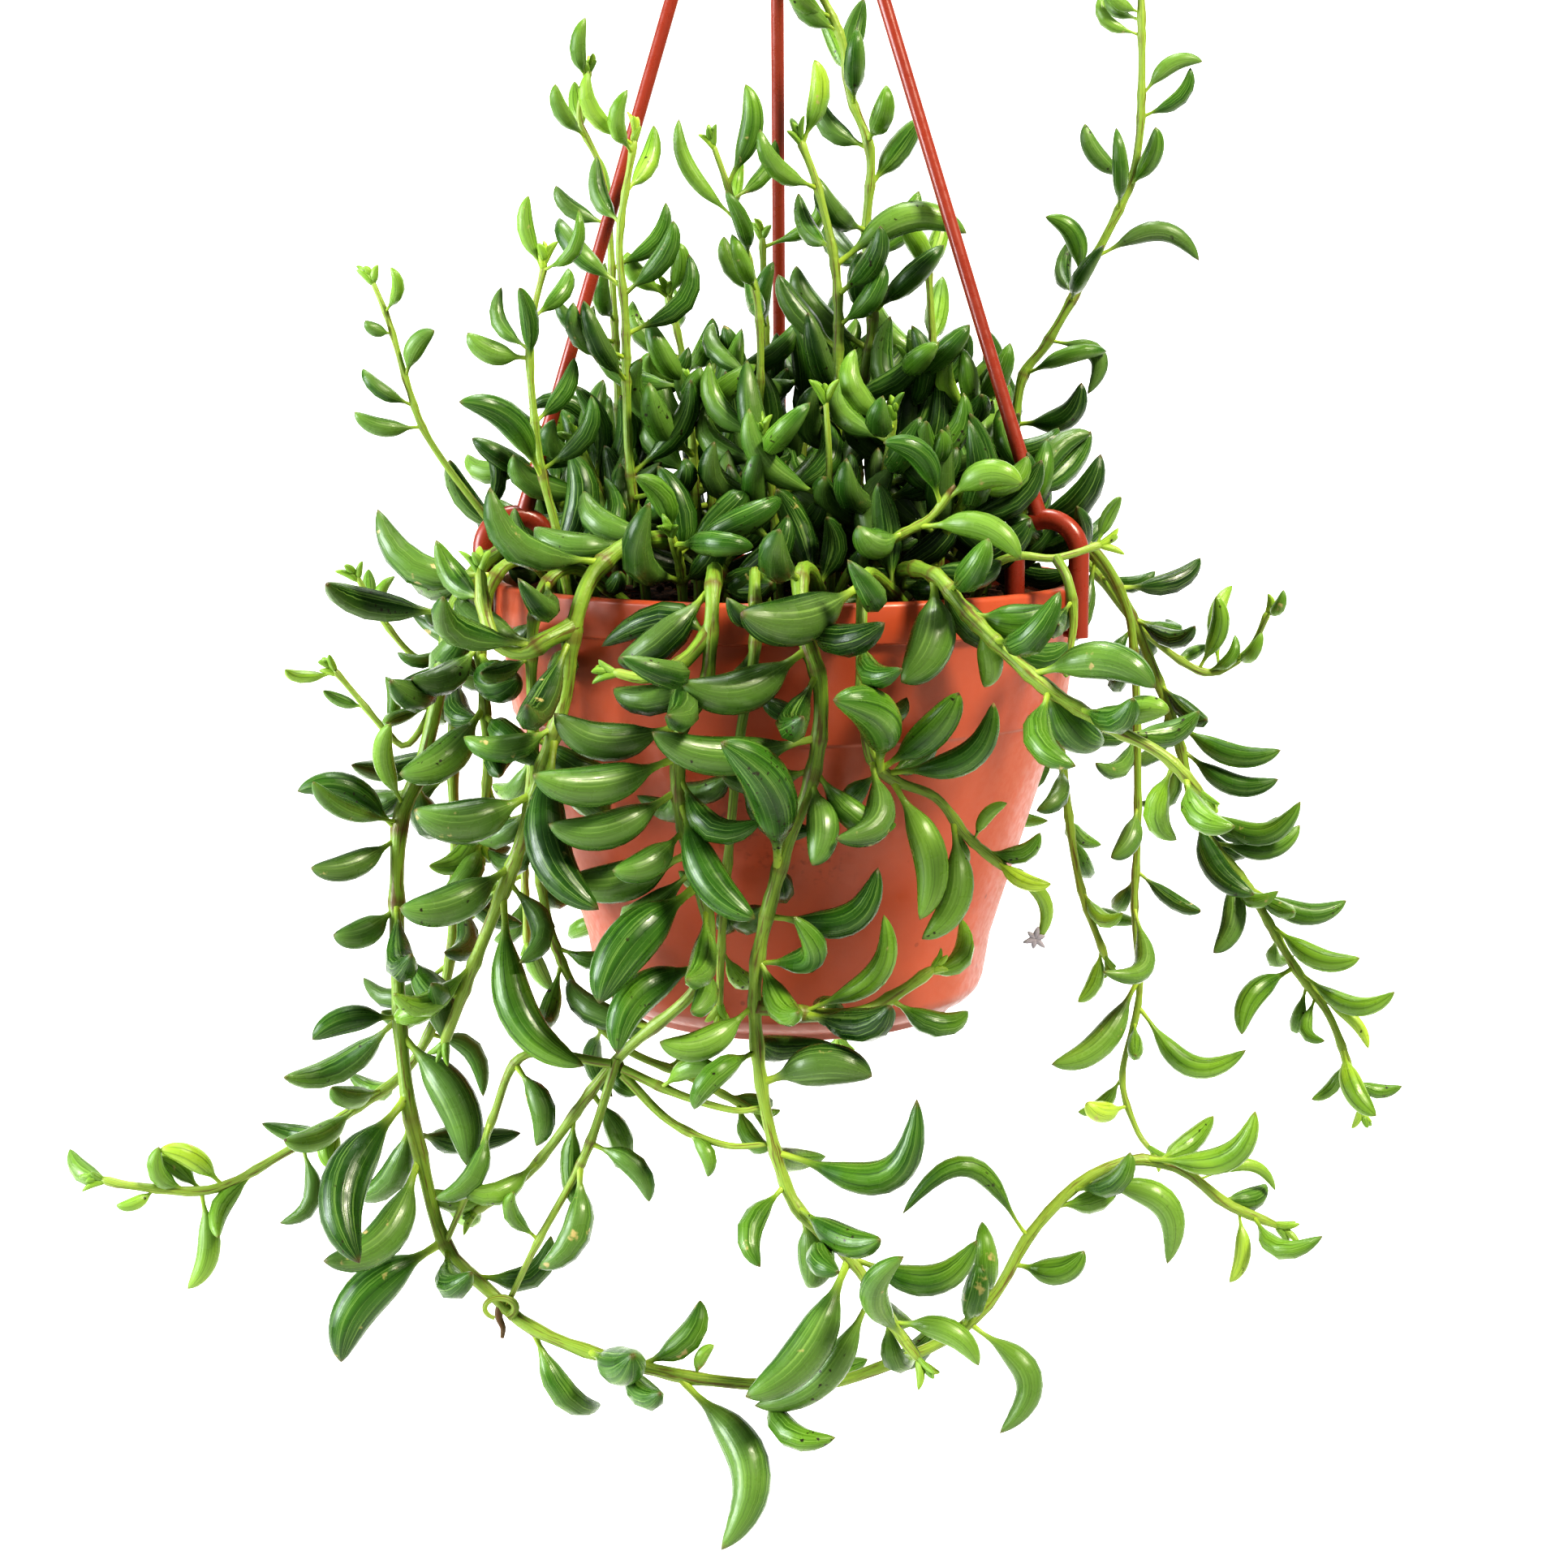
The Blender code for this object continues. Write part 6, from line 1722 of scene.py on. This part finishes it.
@dataclass
class Studio:
    """The plain pale room: a swept floor, soft lights and the camera."""

    eye: tuple = (-1.0084, -547.13, 46.83)
    tilt: float = 0.1159
    lens: float = 61.988
    sensor: float = 36.0
    shift: float = -0.08
    floor_level: float = -560.0
    floor_side: float = 6.0
    sweep_radius: float = 1.2
    sweep_steps: int = 8
    wall: float = 3.0
    paper: str = "#eeeeec"
    glow: float = 0.9
    sky: float = 0.3
    aim: tuple = (0.0, 0.0, -0.24)
    # name, place in metres, side in metres, watts and colour
    lamps: tuple = (("key", (0.6, -0.6, 0.7), 0.25, 22, "#fff4e4"), ("fill", (-1.0, -0.3, -0.05), 0.6, 18, "#f4f7ff"),
                    ("top", (-0.1, 0.3, 0.95), 0.4, 9, "#ffffff"))

    def floor(self) -> bpy.types.Object:
        """Model the floor, which sweeps up into a backdrop that glows behind the plant.

        Returns:
            The floor.
        """
        deselect()
        bpy.ops.mesh.primitive_plane_add(size=self.floor_side, location=(0, 0, (self.floor_level - HOOK_HEIGHT) * MM))
        floor = bpy.context.object
        bpy.ops.object.transform_apply(location=True)
        for edge in floor.data.edges:
            edge.select = all(floor.data.vertices[k].co.y > 1 for k in edge.vertices)
        for face in floor.data.polygons:
            face.select = False
        bpy.ops.object.mode_set(mode="EDIT")
        bpy.ops.mesh.select_mode(type="EDGE")
        turn = pi / 2 / self.sweep_steps
        for k in range(1, self.sweep_steps + 1):
            rise = self.sweep_radius * (cos(turn * (k - 1)) - cos(turn * k))
            back = self.sweep_radius * (sin(turn * k) - sin(turn * (k - 1)))
            bpy.ops.mesh.extrude_edges_move(TRANSFORM_OT_translate={"value": (0, back, rise)})
        bpy.ops.mesh.extrude_edges_move(TRANSFORM_OT_translate={"value": (0, 0, self.wall)})
        bpy.ops.object.mode_set(mode="OBJECT")
        smooth(floor, 60)
        material, tree, shader = new_material("White_Paper_Backdrop")
        back = add_node(tree, "SeparateXYZ", links={0: add_node(tree, "TexCoord").outputs["Object"]}).outputs["Y"]
        glow = add_node(tree, "MapRange", {**SMOOTH, "From Min": 0.1, "From Max": 0.8, "To Max": self.glow},
                        {"Value": back}).outputs["Result"]
        fit_node(tree, shader, {"Base Color": linear(self.paper), "Roughness": 0.9,
                                "Emission Color": linear("#ffffff")}, {"Emission Strength": glow})
        floor.data.materials.append(material)
        floor.name = "studio_floor"
        return floor

    def light(self, name: str, place: tuple, size: float, power: float, colour: str) -> None:
        """Add a soft area light that points at the middle of the plant.

        Args:
            name: The light's name.
            place: Where it stands, in metres.
            size: Its side, in metres.
            power: Its power, in watts.
            colour: Its sRGB colour.
        """
        lamp = bpy.data.lights.new(name, "AREA")
        lamp.size = size
        lamp.energy = power
        lamp.color = linear(colour)[:3]
        made = bpy.data.objects.new(name, lamp)
        made.location = place
        made.rotation_euler = (Vector(self.aim) - Vector(place)).to_track_quat("-Z", "Y").to_euler()
        bpy.context.scene.collection.objects.link(made)

    def camera(self) -> bpy.types.Object:
        """Add the camera in front of the pot, a little above its rim.

        Returns:
            The camera.
        """
        lens = bpy.data.cameras.new("camera")
        lens.sensor_width = self.sensor
        lens.lens = self.lens
        lens.shift_y = self.shift
        lens.clip_end = 20
        made = bpy.data.objects.new("camera", lens)
        made.location = placed(np.array(self.eye))
        made.rotation_euler = (pi / 2 - self.tilt, 0, 0)
        bpy.context.scene.collection.objects.link(made)
        bpy.context.scene.camera = made
        return made

    def build(self) -> None:
        """Set up the room."""
        self.floor()
        for name, place, size, power, colour in self.lamps:
            self.light(name, place, size, power, colour)
        world = bpy.data.worlds.new("studio")
        world.use_nodes = True
        fit_node(world.node_tree, world.node_tree.nodes["Background"], {"Color": linear("#ffffff"),
                                                                        "Strength": self.sky})
        bpy.context.scene.world = world
        bpy.context.scene.view_settings.view_transform = "Standard"
        bpy.context.scene.view_settings.look = "High Contrast"
        self.camera()


def main() -> None:
    """Build the pot, the soil, the hanger and the plant on the frame, then the studio round them."""
    pieces = [Pot().build(), Soil().build(), *Hanger().build(), *Plant().build()]
    for piece in pieces:
        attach(piece, "root")
        log.info("%s: %d faces", piece.name, len(piece.data.polygons))
    Studio().build()
    deselect()


if __name__ == "__main__":
    main()
